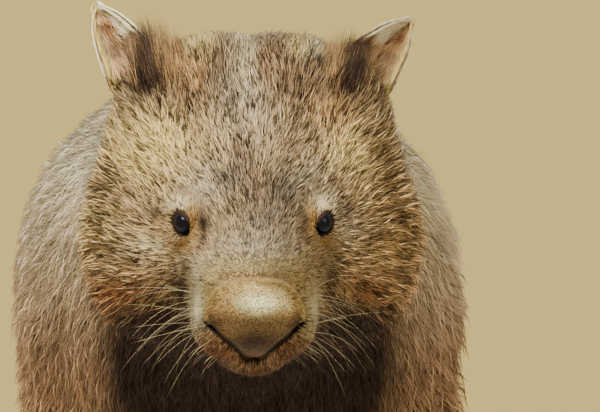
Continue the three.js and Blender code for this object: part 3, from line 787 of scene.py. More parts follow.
def skin_tint(p):
    """The markings, darkened under the coat as painted shadow among the hairs, with bare skin at lip,
    crease, cleft and nostrils, the last three darkened as painted shade.
    """
    q = to_face(p)
    flat = q[:, [0, 2]]
    ahead = q[:, 1] < -45
    edge = outside_pad(flat)
    low = ahead * fade(q[:, 2], -57.5, -51.5)
    zones = [
        (np.array([0.085, 0.05, 0.04]), 0.9 * fade(edge, 1.0, 2.4) * low),
        # Painted shade in the crease below the nose, over its dark bare skin.
        (DARK * 0.6, 0.95 * hump(edge, 1.5) * low),
        # Painted shade in the cleft under the nose.
        (DARK * 0.4, 0.95 * hump(distance_to_line(PHILTRUM, flat), 2.4) * ahead),
        (np.array([0.40, 0.27, 0.12]), fade(edge, -1, 1.5) * ahead * ease(q[:, 2], -55.5, -47.5)),
        # Painted shade in the nostrils.
        (DARK * 0.3, fade(nostril_share(flat), 0.8, 1.3) * ahead),
    ]
    # The coat's colours darkened as painted shadow among the hairs.
    colour = marking_and_shade(p) * 0.22
    for paint, amount in zones:
        colour = painted(colour, paint, amount)
    return colour


points, triangles = surface_nets(skin_field, *SKIN_SPACE, SKIN_PITCH)
points = settle(skin_field, points, 3)
points, triangles = refine(points, triangles, target_edge, skin_field, 4)
skin = mesh_of("skin", points + carve(to_face(points)) @ FACE.T, triangles)
tint_mesh(skin, skin_tint(points))
skin.data.materials.append(hide)
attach(skin, "root")
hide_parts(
    "torso", "neck", "head", "lower_jaw", "tail",
    "foreleg_left", "foreleg_right", "hindleg_left", "hindleg_right",
    "forepaw_left", "forepaw_right", "hindpaw_left", "hindpaw_right",
)

# The coat: tapered tufts of three sides, each a closed body

# Corners, place along and across the tuft, and tone from root to tip, of each point of a tuft
BENT = (
    np.array([
        [0, 2, 1],
        [0, 1, 4], [0, 4, 3], [1, 2, 5], [1, 5, 4], [2, 0, 3], [2, 3, 5],
        [3, 4, 6], [4, 5, 6], [5, 3, 6],
    ]),
    np.array([0, 0, 0, 0.5, 0.5, 0.5, 1.0]), np.array([-0.5, 0.5, 0, -0.5, 0.5, 0, 0]),
    [0, 0, 0, 1, 1, 1, 2],
)
STRAIGHT = (
    np.array([[0, 2, 1], [0, 1, 3], [1, 2, 3], [2, 0, 3]]),
    np.array([0, 0, 0, 1.0]), np.array([-0.5, 0.5, 0, 0]), [0, 0, 0, 2],
)
PATCH = 0.003  # the share of the unwrap that one tuft takes
DARK_SHARE = 0.34
PALE_SHARE = 0.38
# How bright the root of a tuft is, as a share of its middle: the hair's own banding, and painted shadow
# among the tufts
ROOT = 0.16
BODY_ROOT = 0.4
SUNK = 0.6  # how far a tuft's foot stands in the skin
# How many tufts and hairs each piece has
TUFTS = {
    "head": 46000, "head_locks": 12000, "body": 49900, "body_locks": 16000, "legs": 26000,
    "ear": 7000, "rim": 2400, "tall": 5000, "ruff": 5000, "nose": 6500, "bristles": 420,
}


def scatter(points, triangles, density, count):
    """Roots spread over the mesh with the given density, as places on its triangles."""
    a, b, c = points[triangles].transpose(1, 0, 2)
    area = size_of(np.cross(b - a, c - a)) / 2
    weight = area * density((a + b + c) / 3)
    even = (np.arange(count) + rng.random(count)) / count
    chosen = np.searchsorted(np.cumsum(weight) / weight.sum(), even)
    chosen = np.minimum(chosen, len(triangles) - 1)
    r = rng.random((count, 2))
    over = r.sum(1) > 1
    r[over] = 1 - r[over]
    roots = a[chosen] + r[:, :1] * (b - a)[chosen] + r[:, 1:] * (c - a)[chosen]
    return roots[rng.permutation(count)]


def skin_normal(p):
    return unit(slope_of(skin_field, p)[1])


def laid(lie, normal, share=1):
    """A direction without its part, or a share of its part, along the normal."""
    return unit(lie - normal * share * dot(lie, normal)[:, None])


def lie_of(p, normal):
    """The way that the hair points at a place, along the skin."""
    q = to_face(p)
    out = ease(whorl_away(q), 60, 150)
    head = unit(q - WHORL) + np.stack([out * 0, out * 0, -0.45 * out * fade(q[:, 2], -20, 60)], 1)
    head = head @ FACE.T
    outward = np.abs(normal[:, 0])
    trunk_lie = np.stack([0 * outward, 0 * outward + 1, -0.25 - 0.5 * outward], 1)
    trunk_lie = trunk_lie + np.maximum(-normal[:, 1], 0)[:, None] * [0, 0, -2.5]
    rump = np.maximum(normal[:, 1], 0) * ease(p[:, 1], 300, 430)
    trunk_lie = trunk_lie + rump[:, None] * [0, 0, -2.0]
    down = fade(p[:, 2], 60, 130)[:, None] * (np.abs(normal[:, 2:]) < 0.75)
    trunk_lie = trunk_lie * (1 - down) + down * [0, 0.15, -1]
    for side in SIDES:
        near = 1.5 * fade(eye_away(p, side), 10, 24)
        head = unit(head) + unit(p - eye_centre(side)) * near[:, None]
    body = ease(p[:, 1], -265, -195)[:, None]
    wander = np.stack([noise(p, 24, seed) for seed in (11, 12, 13)], 1) * 0.28
    return laid(unit(head) * (1 - body) + unit(trunk_lie) * body + wander, normal)


def drawn_together(tip, middle, per_lock, pull):
    """Neighbouring tips draw together into locks. Returns the lock of each tuft as well."""
    centres = max(1, int(len(tip) / per_lock))
    tree = KDTree(centres)
    heads = tip[:centres]
    for n, place in enumerate(heads):
        tree.insert(place, n)
    tree.balance()
    nearest = np.array([tree.find(place)[1] for place in tip])
    draw = (pull * rng.uniform(0.3, 1.0, len(tip)))[:, None]
    shift = (heads[nearest] - tip) * draw
    return tip + shift, middle + shift * 0.3, nearest, centres


def contrast_at(p):
    """How much the tones of neighbouring tufts differ: least round the eyes and on the body."""
    value = 1 - 0.45 * ease(p[:, 1], -260, -200)
    for side in SIDES:
        value = value * (0.3 + 0.7 * ease(eye_away(p, side), 12, 21))
    return value


def capped(colour, most):
    return colour / np.maximum(colour.max(1, keepdims=True) / most, 1)


def tint_tufts(colour, lock, locks, root, contrast):
    """Root, middle and tip colours of each tuft: some locks and single tufts are dark, others pale."""
    count = len(colour)
    mean = colour.mean(1, keepdims=True)
    pale = ease(mean, 0.5, 0.75)
    rough = np.reshape(contrast, (-1, 1)) * (1 - 0.8 * pale)
    own = np.exp(rng.normal(0, 0.22, count)[:, None] * rough)
    shared = np.exp(rng.normal(0, 0.26, locks)[lock][:, None] * rough)
    kind = np.where(rng.random(count) < 0.5, rng.random(locks)[lock], rng.random(count))[:, None]
    level = np.minimum(1.5 * mean ** 0.8, 0.7) * ease(mean, 0.01, 0.08)
    glow = 0.5 * (STRAW + 0.9 * colour / colour.max(1, keepdims=True))
    base = colour * own * shared
    base = np.where(kind < DARK_SHARE, base * (1 - 0.8 * rough) + DARK * 0.35 * rough, base)
    bright = base * (1 - 0.2 * rough) + glow * 0.6 * level * own * rough
    base = np.where(kind > 1 - PALE_SHARE, bright, base)
    base = capped(np.maximum(base, 0.003), 0.92)
    # Dark roots are the hair's own banding and painted shadow among the tufts; the tips are lighter.
    return np.stack([base * (root + (0.75 - root) * pale), base * 0.85, capped(base * 1.5, 0.95)], 1)


def hair_piece(name, places, corners, shades, spot, along, across):
    """Many small closed bodies of one build as one piece, each with its own patch of the unwrap."""
    faces = (np.arange(len(places)) * places.shape[1])[:, None, None] + corners
    piece = mesh_of(name, places.reshape(-1, 3), faces.reshape(-1, 3))
    tint_mesh(piece, shades.reshape(-1, 3))
    corner = corners.ravel()
    u = spot[:, :1] + across[corner] * PATCH
    v = spot[:, 1:] + (along[corner] - 0.5) * PATCH
    layer = piece.data.uv_layers.new(name="OFBake")
    layer.data.foreach_set("uv", np.stack([u, v], -1).astype(np.float32).ravel())
    piece.data.materials.append(fur)
    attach(piece, "root")
    return piece


def grow(name, roots, normal, lie, reach, height, width, colour, spot, per_lock, pull, bent, on_coat,
         root=ROOT, contrast=1.0):
    """Tufts that grow on a surface and lie along it; those of the coat end at the outline of the solids."""
    count = len(roots)
    lie = unit(lie + np.cross(lie, normal) * rng.normal(0, 0.17, count)[:, None])
    side = np.cross(lie, normal)
    flat = np.sqrt(np.maximum(reach ** 2 - height ** 2, (0.5 * reach) ** 2))
    sway = rng.normal(0, 0.10, count) * reach
    middle = roots + lie * (flat * 0.42)[:, None] + side * (sway * 0.3)[:, None]
    tip = roots + lie * flat[:, None] + side * sway[:, None]
    tip, middle, lock, locks = drawn_together(tip, middle, per_lock, pull)
    if on_coat:
        for _ in range(2 if bent else 1):
            tip = settle(outline, tip, 1, depth_of(tip) - height)
        if bent:
            middle = settle(outline, middle, 1, depth_of(middle) - 0.72 * height)
    else:
        tip = tip + normal * height[:, None]
        middle = middle + normal * (0.7 * height)[:, None]
    wide = (width * rng.uniform(0.7, 1.3, count))[:, None]
    if colour is None:
        colour = marking_and_shade(roots * 0.2 + tip * 0.8)
    shades = tint_tufts(colour, lock, locks, root, contrast)
    sunk = roots - normal * SUNK
    places = []
    for centre, share in ((sunk, 0.8), (middle, 1.0)) if bent else ((sunk, 1.0),):
        places.append(centre - side * wide * share / 2)
        places.append(centre + side * wide * share / 2)
        places.append(centre + normal * wide * share * 0.45)
    corners, along, across, tones = BENT if bent else STRAIGHT
    return hair_piece(name, np.stack([*places, tip], 1), corners, shades[:, tones], spot, along, across)


def coat(name, roots, length, width, per_lock, pull, unwrap, bent=False, root=ROOT):
    count = len(roots)
    normal = skin_normal(roots)
    stray = np.where(rng.random(count) < 0.05, rng.uniform(1.05, 1.25, count), 1.0)
    waves = 1 + 0.2 * noise(roots, 13, 21)
    height = depth_of(roots) * rng.uniform(0.35, 1.0, count) * stray * waves
    reach = length * rng.uniform(0.7, 1.25, count)
    grow(name, roots, normal, lie_of(roots, normal), reach, height, width, None,
         unwrap(roots), per_lock, pull, bent, True, root, contrast_at(roots))


def head_unwrap(p):
    q = to_face(p) - WHORL
    angle = np.arctan2(q[:, 0], q[:, 2])
    far = 0.485 * np.clip(size_of(q) / 235, 0, 1)
    return 0.5 + np.stack([far * np.sin(angle), far * np.cos(angle)], 1)


def body_unwrap(p):
    x = p[:, 0] - spine_shift(p[:, 1])
    around = np.arctan2(x, p[:, 2] - 185) / (2 * math.pi)
    along = np.arctan2((p[:, 1] - 100) / 280, np.hypot(x, p[:, 2] - 185) / 130) / math.pi
    return 0.5 + 0.98 * np.stack([around, along], 1)


def leg_unwrap(p):
    x = p[:, 0] - spine_shift(p[:, 1])
    left = x > 0
    hind = p[:, 1] > 120
    off = (x - np.where(left, 100, -100), p[:, 1] - np.where(hind, 335, -105))
    around = np.arctan2(*off) / (2 * math.pi) + 0.5
    up = np.clip(p[:, 2] / 170, 0, 1)
    return np.stack([0.01 + 0.48 * around + 0.5 * left, 0.01 + 0.48 * up + 0.5 * hind], 1)


def is_head(p):
    return fade(p[:, 1], -236, -222)


def is_leg(p):
    return fade(p[:, 2], 108, 122)


def cover(p):
    """Nought where no coat grows: on the nose, in its cleft and in the openings of the eyes."""
    q = to_face(p)
    flat = q[:, [0, 2]]
    on_top = np.maximum(ease(q[:, 2], -42, -32), 0.45 * ease(q[:, 2], -56, -49))
    low = 1 - on_top
    share = ease(outside_pad(flat), 0.4 * low - 3 * on_top, 1.7 * low + 1 * on_top)
    share = np.where(q[:, 1] < -40, share * ease(distance_to_line(PHILTRUM, flat), 1.6, 3.4), 1.0)
    for side in SIDES:
        share = share * ease(eye_distance(q, side), 1.08, 1.22)
    return share


def head_density(p):
    return is_head(p) * (0.8 + 1.1 * fade(whorl_away(to_face(p)), 30, 110)) * cover(p)


def lock_density(p):
    return is_head(p) * ease(whorl_away(to_face(p)), 60, 130) * cover(p)


def body_density(p):
    front = fade(p[:, 1], -190, -40)
    under = ease(p[:, 2], 50, 110)
    return (1 - is_head(p)) * (1 - is_leg(p)) * (1 + 1.1 * front) * (0.5 + 0.5 * under)


def leg_density(p):
    return (1 - is_head(p)) * is_leg(p) * (p[:, 2] > 5)


def head_length(roots):
    q = to_face(roots)
    away = whorl_away(q)
    length = 3.0 + 4.8 * ease(away, 22, 85) + 6.0 * ease(away, 90, 165)
    length = length + 8 * (ease(np.abs(q[:, 0]), 60, 92) * fade(q[:, 2], 20, 60))
    for side in SIDES:
        length = length * (0.35 + 0.65 * ease(eye_distance(q, side), 1.2, 3.4))
    return length


for n in range(3):
    roots = scatter(points, triangles, head_density, TUFTS["head"])
    width = 0.56 + 0.4 * ease(whorl_away(to_face(roots)), 20, 120)
    coat(f"coat_head_short_{n + 1}", roots, head_length(roots), width, 6, 0.5, head_unwrap)
roots = scatter(points, triangles, lock_density, TUFTS["head_locks"])
width = np.full(len(roots), 0.95)
coat("coat_head_locks", roots, head_length(roots) * 1.3, width, 6, 0.5, head_unwrap, True)

for n in range(2):
    roots = scatter(points, triangles, body_density, TUFTS["body"])
    length = 23 - 8 * fade(roots[:, 1], -220, -60)
    width = 1.4 - 0.6 * fade(roots[:, 1], -190, -60)
    coat(f"coat_body_short_{n + 1}", roots, length, width, 6, 0.5, body_unwrap, False, BODY_ROOT)
roots = scatter(points, triangles, body_density, TUFTS["body_locks"])
length = 29 - 7 * fade(roots[:, 1], -220, -100)
width = 1.8 - 0.9 * fade(roots[:, 1], -190, -60)
coat("coat_body_locks", roots, length, width, 5, 0.5, body_unwrap, True, BODY_ROOT)

roots = scatter(points, triangles, leg_density, TUFTS["legs"])
upward = ease(roots[:, 2], 30, 110)
coat("coat_legs", roots, 5 + 14 * upward, 0.9 + 0.9 * upward, 6, 0.45, leg_unwrap)

# Ears: a cup that narrows to a tip, with hair on both faces and a fringe along its edge

EAR = {"base": [71, 52, 92], "sink": 15, "half_width": 20.5, "cup": 14, "thick": 4.8, "rim": 2}
EAR_OPENING = math.radians(93)
EARS = {
    "ear_left": (1, 43.5, [0.6, 0.3, 0.68], [0.3, -0.94, 0.2]),
    "ear_right": (-1, 46.5, [0.51, 0.1, 0.85], [0.3, -0.94, 0.1]),
}
EAR_RINGS = 30
EAR_CELLS = 25


def ear_place(u, t, inner, name):
    """A place on the ear in the frame of the face: u across its cup, t up to its tip, inner from 0 to 1."""
    side, length, axis, facing = EARS[name]
    share = np.where(t < 0, 0.88, 1 - 0.50 * t - 0.33 * t ** 5)
    wall = (EAR["thick"] + (EAR["rim"] - EAR["thick"]) * np.clip(t, 0, 1)) * np.minimum(1, share * 2)
    inset = 0.6 + (wall - 1.2) * inner
    thinner = inset * (1 - 0.45 * u * u)
    wide = np.maximum(EAR["half_width"] * share - thinner, EAR["half_width"] * share * 0.3)
    deep = np.maximum(EAR["cup"] * share - thinner, EAR["cup"] * share * 0.2)
    up = unit(np.array(axis) * [side, 1, 1])
    across = np.cross(np.array(axis) * [side, 1, 1], np.array(facing) * [side, 1, 1])
    ahead = unit(np.cross(up, across))
    across = np.cross(ahead, up)
    local = [np.sin(u * EAR_OPENING) * wide, np.cos(u * EAR_OPENING) * deep, t * length]
    base = np.array(EAR["base"]) * [side, 1, 1]
    return base + sum(part[:, None] * way for part, way in zip(local, (across, ahead, up)))


def ear_colour(medial, t, inner):
    """Pale along the upper edge, red-brown within, dark where the ear meets the head."""
    colour = np.tile(TAN * 1.2, (len(t), 1))
    zones = [
        (np.exp(-((medial + 0.15) / 0.28) ** 2 - ((t - 0.64) / 0.24) ** 2), RUFOUS * 0.8, 0.98),
        (ease(medial, 0.05, 0.28) * ease(t, 0.28, 0.42), IVORY, 1.0),
        (ease(-medial, 0.6, 0.85), GOLD * 0.9, 0.85),
        (ease(medial, -0.75, -0.4) * fade(t, 0.3, 0.46), BROWN * 1.5, 0.9),
        (ease(medial, 0.0, 0.5) * fade(t, 0.1, 0.35), DARK, 0.95),
    ]
    for amount, paint, strength in zones:
        colour = painted(colour, paint, strength * amount)
    edge = ease(np.abs(medial), 0.62, 0.88) * ease(t, 0.3 * (medial > 0), 0.3 + 0.25 * (medial > 0))
    back = painted(np.tile(BROWN * 1.3, (len(t), 1)), IVORY, 0.95 * edge)
    return np.where(inner[:, None] > 0.5, colour, back)


def ear_axes(u, t, inner, name):
    """A place on the ear, its directions to the tip and across, and the normal of its face."""
    step = 0.01
    here = ear_place(u, t, inner, name)
    upward = unit(ear_place(u, t + step, inner, name) - here)
    across = unit(ear_place(u + step, t, inner, name) - here)
    normal = np.cross(across, upward)
    outside = ear_place(u, t, np.zeros_like(inner), name) - ear_place(u, t, np.ones_like(inner), name)
    facing = dot(normal, outside) * np.where(inner > 0.5, -1, 1)
    return here, upward, across, unit(normal * np.where(facing < 0, -1.0, 1.0)[:, None])


def add_ear(name):
    side, length = EARS[name][:2]
    t = np.concatenate([[-EAR["sink"] / length], np.linspace(0, 1, EAR_RINGS - 1) ** 0.9])
    u = np.linspace(-1, 1, EAR_CELLS)
    around = 2 * EAR_CELLS
    grid_u = np.tile(np.concatenate([u, u[::-1]]), EAR_RINGS)
    grid_t = np.repeat(t, around)
    grid_inner = np.tile(np.repeat([0.0, 1.0], EAR_CELLS), EAR_RINGS)
    places = ear_place(grid_u, grid_t, grid_inner, name)
    places = np.concatenate([places, [places[:around].mean(0), places[-around:].mean(0)]])
    ear = mesh_of("skin_" + name, from_face(places), tube_faces(EAR_RINGS, around))
    tint = ear_colour(-grid_u * side, grid_t, grid_inner) * 0.8
    tint_mesh(ear, np.concatenate([tint, [DARK, STRAW * 0.5]]))
    ear.data.materials.append(hide)
    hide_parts(name)
    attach(ear, "root")

    count, at_rim = TUFTS["ear"], TUFTS["rim"]
    u = rng.uniform(-1, 1, count)
    u[:at_rim] = np.sign(u[:at_rim]) * (1 - 0.09 * rng.random(at_rim))
    t = rng.uniform(-0.05, 1, count)
    t[:at_rim] = rng.uniform(0.05, 0.99, at_rim)
    within = rng.random(count) < 0.62
    inner = within.astype(float)
    here, upward, across, normal = ear_axes(u, t, inner, name)
    at_edge = ease(np.abs(u), 0.86, 0.98)
    white_edge = at_edge * (-u * side > 0) * ease(t, 0.3, 0.5)
    spread = np.where(within, 0.05, 0.15) + 0.1 * at_edge + 0.5 * white_edge
    lie = unit(upward + across * (np.sign(u) * spread)[:, None])
    reach = np.where(within, 13.0 - 7 * t, 5.5 - 1.5 * t) * rng.uniform(0.7, 1.2, count)
    reach = reach + 2.5 * white_edge * ~within
    height = reach * np.where(within, 0.3, 0.14)
    spot = np.stack([0.04 + 0.42 * (u + 1) / 2 + 0.5 * inner, 0.04 + 0.92 * np.clip(t, 0, 1)], 1)
    colour = ear_colour(-u * side, t, inner)
    fringe = grow("coat_" + name, from_face(here), normal @ FACE.T, lie @ FACE.T, reach, height,
                  np.full(count, 0.7), colour, spot, 6, 0.18, False, False, 0.6, 0.7)


for name in EARS:
    add_ear(name)


def beside_ear(p):
    """Where the tall dark hair between ear and crown grows."""
    q = to_face(p)
    x = np.abs(q[:, 0])
    return ease(x, 36, 50) * fade(x, 66, 74) * ease(q[:, 2], 72, 84) * hump(q[:, 1] - 40, 24)


def add_tall_hair():
    roots = scatter(points, triangles, beside_ear, TUFTS["tall"])
    count = len(roots)
    across = to_face(roots)[:, 0]
    normal = skin_normal(roots)
    x = np.abs(across)
    lie = np.stack([np.sign(across) * 0.25, -0.1 + 0 * x, 1 + 0 * x], 1) @ FACE.T
    reach = (10 + 12 * ease(x, 36, 56)) * np.where(across < 0, 1.2, 0.9) * rng.uniform(0.6, 1.15, count)
    dark = 1.45 * hump(x - 61, 10) + 0.5 * noise(roots, 5, 5) - 0.5 * (rng.random(count) < 0.2)
    dark = np.clip(dark, 0, 0.97)[:, None]
    colour = AMBER * 0.7 * (1 - dark) + DARK * 1.3 * dark
    grow("coat_tall_hair", roots, normal, laid(lie, normal, 0.5), reach, reach * 0.45, np.full(count, 0.7),
         colour, head_unwrap(roots), 6, 0.4, False, False, 0.25)


add_tall_hair()


def cheek_edge(p):
    q = to_face(p)
    out = ease(np.abs(q[:, 0]), 60, 84) * fade(q[:, 2], 20, 70) * ease(q[:, 2], -85, -55)
    return out * ease(q[:, 1], 10, 45) * fade(q[:, 1], 95, 130)


def add_cheek_ruff():
    roots = scatter(points, triangles, cheek_edge, TUFTS["ruff"])
    count = len(roots)
    normal = skin_normal(roots)
    reach = rng.uniform(11, 21, count)
    height = reach * rng.uniform(0.35, 0.7, count)
    grow("coat_cheek_ruff", roots, normal, lie_of(roots, normal), reach, height, np.full(count, 0.8),
         marking_and_shade(roots), head_unwrap(roots), 5, 0.45, True, False, 0.25)


add_cheek_ruff()

# Eyes in their lids, in the frame of the face

# Rings of the lids from the eyeball outwards: out of the opening, up from the ball or the skin, colour
LID_RINGS = [
    (-0.9, -0.7, DARK * 0.3),
    (-0.1, 0.15, DARK * 0.4),
    (0.3, 0.4, np.array([0.024, 0.014, 0.013])),
    (0.7, 0.4, np.array([0.032, 0.018, 0.014])),
    (1.3, 0.3, BROWN * 0.24),
    (2.3, 0.0, BROWN * 0.5),
    (3.5, -1.3, BROWN * 0.5),
]
LID_CELLS = 64
BALL_RINGS = 23
BALL_CELLS = 36
CLEAR_OF_BALL = 0.25
HALVINGS = 24


def skin_in_face(q):
    return skin_field(from_face(q))


def cast(start, direction, furthest):
    """Where lines from outside meet the skin, in the frame of the face."""
    near = np.zeros(len(start))
    far = np.full(len(start), float(furthest))
    for _ in range(HALVINGS):
        middle = (near + far) / 2
        outside = skin_in_face(start + direction * middle[:, None]) > 0
        near = np.where(outside, middle, near)
        far = np.where(outside, far, middle)
    return start + direction * near[:, None]


def add_ball(side, name):
    centre, long, short, axis = eye_frame(side)
    polar = np.linspace(0, math.pi, BALL_RINGS + 2)[1:-1]
    turn = np.arange(BALL_CELLS) * 2 * math.pi / BALL_CELLS
    p, t = np.meshgrid(polar, turn, indexing="ij")
    shell = [np.sin(p) * np.cos(t), np.sin(p) * np.sin(t), np.cos(p)]
    rows = sum(a.reshape(-1, 1) * b for a, b in zip(shell, (long, short, axis)))
    places = np.concatenate([rows, [axis, -axis]]) * EYE_RADIUS + centre
    eye = mesh_of("ball_" + name, from_face(places), tube_faces(BALL_RINGS, BALL_CELLS)[:, ::-1])
    eye.data.materials.append(gloss)
    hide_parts(name)
    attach(eye, "root")


def add_lids(side, name):
    centre, long, short, axis = eye_frame(side)
    turn = np.arange(LID_CELLS) * 2 * math.pi / LID_CELLS
    outward = np.stack([np.cos(turn), np.sin(turn)], 1)
    rim = np.stack([np.cos(turn), np.sign(np.sin(turn)) * np.abs(np.sin(turn)) ** 1.15], 1)
    rings = []
    for out, up, _ in LID_RINGS:
        flat = rim * [EYE_LONG, EYE_HIGH] + outward * out
        over = centre + flat[:, :1] * long + flat[:, 1:] * short
        on_skin = cast(over + axis * 30, -axis, 45)
        ball = np.sqrt(np.maximum(EYE_RADIUS ** 2 - dot(flat, flat), 0))
        share = ease(out, 0.2, 3.4)
        height = np.maximum(ball, 1) * (1 - share) + (on_skin - centre) @ axis * share + up
        if out > 0:
            height = np.where(ball > 0, np.maximum(height, ball + CLEAR_OF_BALL), height)
        rings.append(over + axis * height[:, None])
    n = np.arange(LID_CELLS)
    m = (n + 1) % LID_CELLS
    band = np.stack([n, n + LID_CELLS, m + LID_CELLS, m], 1)
    faces = np.concatenate([band + k * LID_CELLS for k in range(len(LID_RINGS) - 1)])
    lids = mesh_of("lids_" + name, from_face(np.concatenate(rings)), faces[:, ::side])
    tint_mesh(lids, np.repeat([colour for _, _, colour in LID_RINGS], LID_CELLS, axis=0))
    smooth = lids.modifiers.new("smooth", "SUBSURF")
    smooth.levels = 1
    smooth.render_levels = 1
    lids.data.materials.append(hide)
    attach(lids, "root")


for side, name in ((1, "eye_left"), (-1, "eye_right")):
    add_ball(side, name)
    add_lids(side, name)

# The bare nose

# Swellings of the pad on both sides: across, up, radii and height
SWELLINGS = [(2, -42, 15, 9, 1.9), (24.5, -48, 7, 7, 1.2), (15, -54, 4.5, 6, -1.0), (0, -68, 8, 8, 0.6)]
# Tones of the pad, some of them painted light and shade: across and up, radii, colour and strength
PAD_TONES = [
    # Painted shade on the pad's left side and painted light on its right side.
    ((-22, -46), (10, 11), np.array([0.28, 0.165, 0.055]), 0.7),
    ((22, -46), (9, 11), np.array([0.46, 0.29, 0.10]), 0.7),
    ((0, -33), (24, 4.5), np.array([0.60, 0.44, 0.16]), 0.9),
    ((0, -54), (19, 5), np.array([0.11, 0.065, 0.022]), 0.85),
    ((0, -66), (25, 11.5), np.array([0.027, 0.012, 0.007]), 0.98),
    ((0, -77), (8, 4), np.array([0.10, 0.034, 0.025]), 0.8),
    # Painted shade round the nostrils.
    ((-26, -56.5), (10, 8), np.array([0.035, 0.014, 0.008]), 0.97),
    ((26, -56.5), (10, 8), np.array([0.035, 0.014, 0.008]), 0.97),
    # Painted highlight on the top of the nose.
    ((4, -43), (12, 5.5), np.array([0.95, 0.93, 0.52]), 0.97),
]
PAD_BASE = np.array([0.29, 0.18, 0.06])
FUZZ = np.array([0.62, 0.45, 0.18])
PAD_BACK = -44  # where the pad ends inside the muzzle


def nose_field(q):
    flat = q[:, [0, 2]]
    surface = outline(from_face(q)) - 0.5 + 0.4 * ease(q[:, 2], -41, -31)
    for x, z, wide, tall, swell in SWELLINGS:
        off = (mirrored(flat) - [x, z]) / [wide, tall]
        surface = surface - swell * np.exp(-dot(off, off))
    rounded = -smooth_lower(-surface, -outside_pad(flat), 5.0)
    hole = (nostril_share(flat) - 1) * NOSTRIL["wide"]
    return np.maximum(np.maximum(rounded, -hole), q[:, 1] - PAD_BACK)


def pad_colour(q):
    colour = np.tile(PAD_BASE, (len(q), 1))
    for place, radii, paint, strength in PAD_TONES:
        off = (q[:, [0, 2]] - place) / radii
        colour = painted(colour, paint, strength * np.exp(-dot(off, off)))
    return colour


def fuzz_density(q):
    return fade(-outside_pad(q[:, [0, 2]]), 2, 9) * ease(q[:, 2], -57, -46) * (q[:, 1] < -48)


def add_nose():
    places, faces = surface_nets(nose_field, *PAD_SPACE, PAD_PITCH)
    places = settle(nose_field, places, 2)
    nose = mesh_of("nose_pad", from_face(places), faces)
    flat = places[:, [0, 2]]
    tones = pad_colour(places)
    # Painted shade in the crease along the lower edges of the pad, over its dark skin.
    tones *= (1 - fade(places[:, 2], -57.5, -50.5) * 0.92 * fade(-outside_pad(flat), 0.6, 2.6))[:, None]
    # Painted shade inside the nostrils.
    tones *= (0.1 + 0.9 * ease(nostril_share(flat), 1.0, 1.5))[:, None]
    tint_mesh(nose, tones)
    nose.data.materials.append(leather)
    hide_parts("nose")
    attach(nose, "root")

    roots = scatter(places, faces, fuzz_density, TUFTS["nose"])
    count = len(roots)
    normal = unit(slope_of(nose_field, roots)[1])
    lie = laid(unit(roots - WHORL * [1, 0.7, 1.25]), normal)
    reach = rng.uniform(2.0, 3.8, count)
    colour = painted(pad_colour(roots) * 1.1, FUZZ, fade(-outside_pad(roots[:, [0, 2]]), 0.5, 5))
    grow("coat_nose", from_face(roots), normal @ FACE.T, lie @ FACE.T, reach, reach * 0.25,
         np.full(count, 0.42), colour, head_unwrap(from_face(roots)), 5, 0.3, False, False, 0.4)


add_nose()

# Whiskers and bristles, each a thin tapered tube


def add_strands(name, root, direction, length, droop, thick, colour, rings):
    """Tubes of three sides that run out from their roots and bend down, in the frame of the face."""
    count = len(root)
    s = np.linspace(0, 1, rings + 1)
    reach = length[:, None, None]
    sway = np.stack([rng.normal(0, 0.06, count), rng.normal(0, 0.06, count), -droop], 1)
    path = root[:, None] + unit(direction)[:, None] * reach * s[:, None]
    path = path + sway[:, None] * reach * s[:, None] ** 2
    along = unit(np.gradient(path, axis=1))
    side = unit(np.cross(along, [0.13, 0.2, 0.97]))
    up = np.cross(side, along)
    places = []
    for k in range(rings):
        radius = thick * (1 - 0.75 * k / rings)
        for turn in np.arange(3) * 2 * math.pi / 3:
            places.append(path[:, k] + (side[:, k] * math.cos(turn) + up[:, k] * math.sin(turn)) * radius)
    corners = [[0, 2, 1]]
    for k in range(rings):
        for n in range(3):
            a, b = 3 * k + n, 3 * k + (n + 1) % 3
            corners += [[a, b, 3 * rings]] if k == rings - 1 else [[a, b, b + 3], [a, b + 3, a + 3]]
    share = np.append(np.repeat(s[:-1], 3), 1)
    shades = np.clip(colour[:, None] * (0.55 + 0.6 * share[:, None]), 0, 0.95)
    across = (np.arange(len(share)) % 3 - 1) / 2
    places = from_face(np.stack([*places, path[:, -1]], 1))
    hair_piece(name, places, np.array(corners), shades, head_unwrap(from_face(root)), share, across)


def on_muzzle(start, direction):
    """Where lines from outside meet the skin, and which of them do."""
    place = cast(start, direction, 80)
    return place, np.abs(skin_in_face(place)) < 0.5


def add_whiskers():
    row, n, side = [part.ravel() for part in np.meshgrid(np.arange(5), np.arange(5), [1, -1])]
    count = len(row)
    y = -56 + 7 * n + rng.uniform(-3, 3, count)
    z = -39 - 6 * row + rng.uniform(-2, 2, count)
    roots, hit = on_muzzle(np.stack([side * 60.0, y, z], 1), np.stack([-side, 0 * side, 0 * side], 1))
    hit = hit & (side * roots[:, 0] > 15)
    ways = np.stack([side, 0.1 + 0.15 * n + rng.uniform(-0.25, 0.25, count),
                     0.22 - 0.15 * row + rng.normal(0, 0.22, count)], 1)
    length = rng.uniform(24, 60, count) * (1 - 0.07 * row)
    droop = rng.uniform(-0.1, 0.6, count) + 0.06 * row
    tone = STRAW * rng.uniform(0.35, 0.8, (count, 1))
    add_strands("coat_whiskers", roots[hit], ways[hit], length[hit], droop[hit], 0.13, tone[hit], 7)


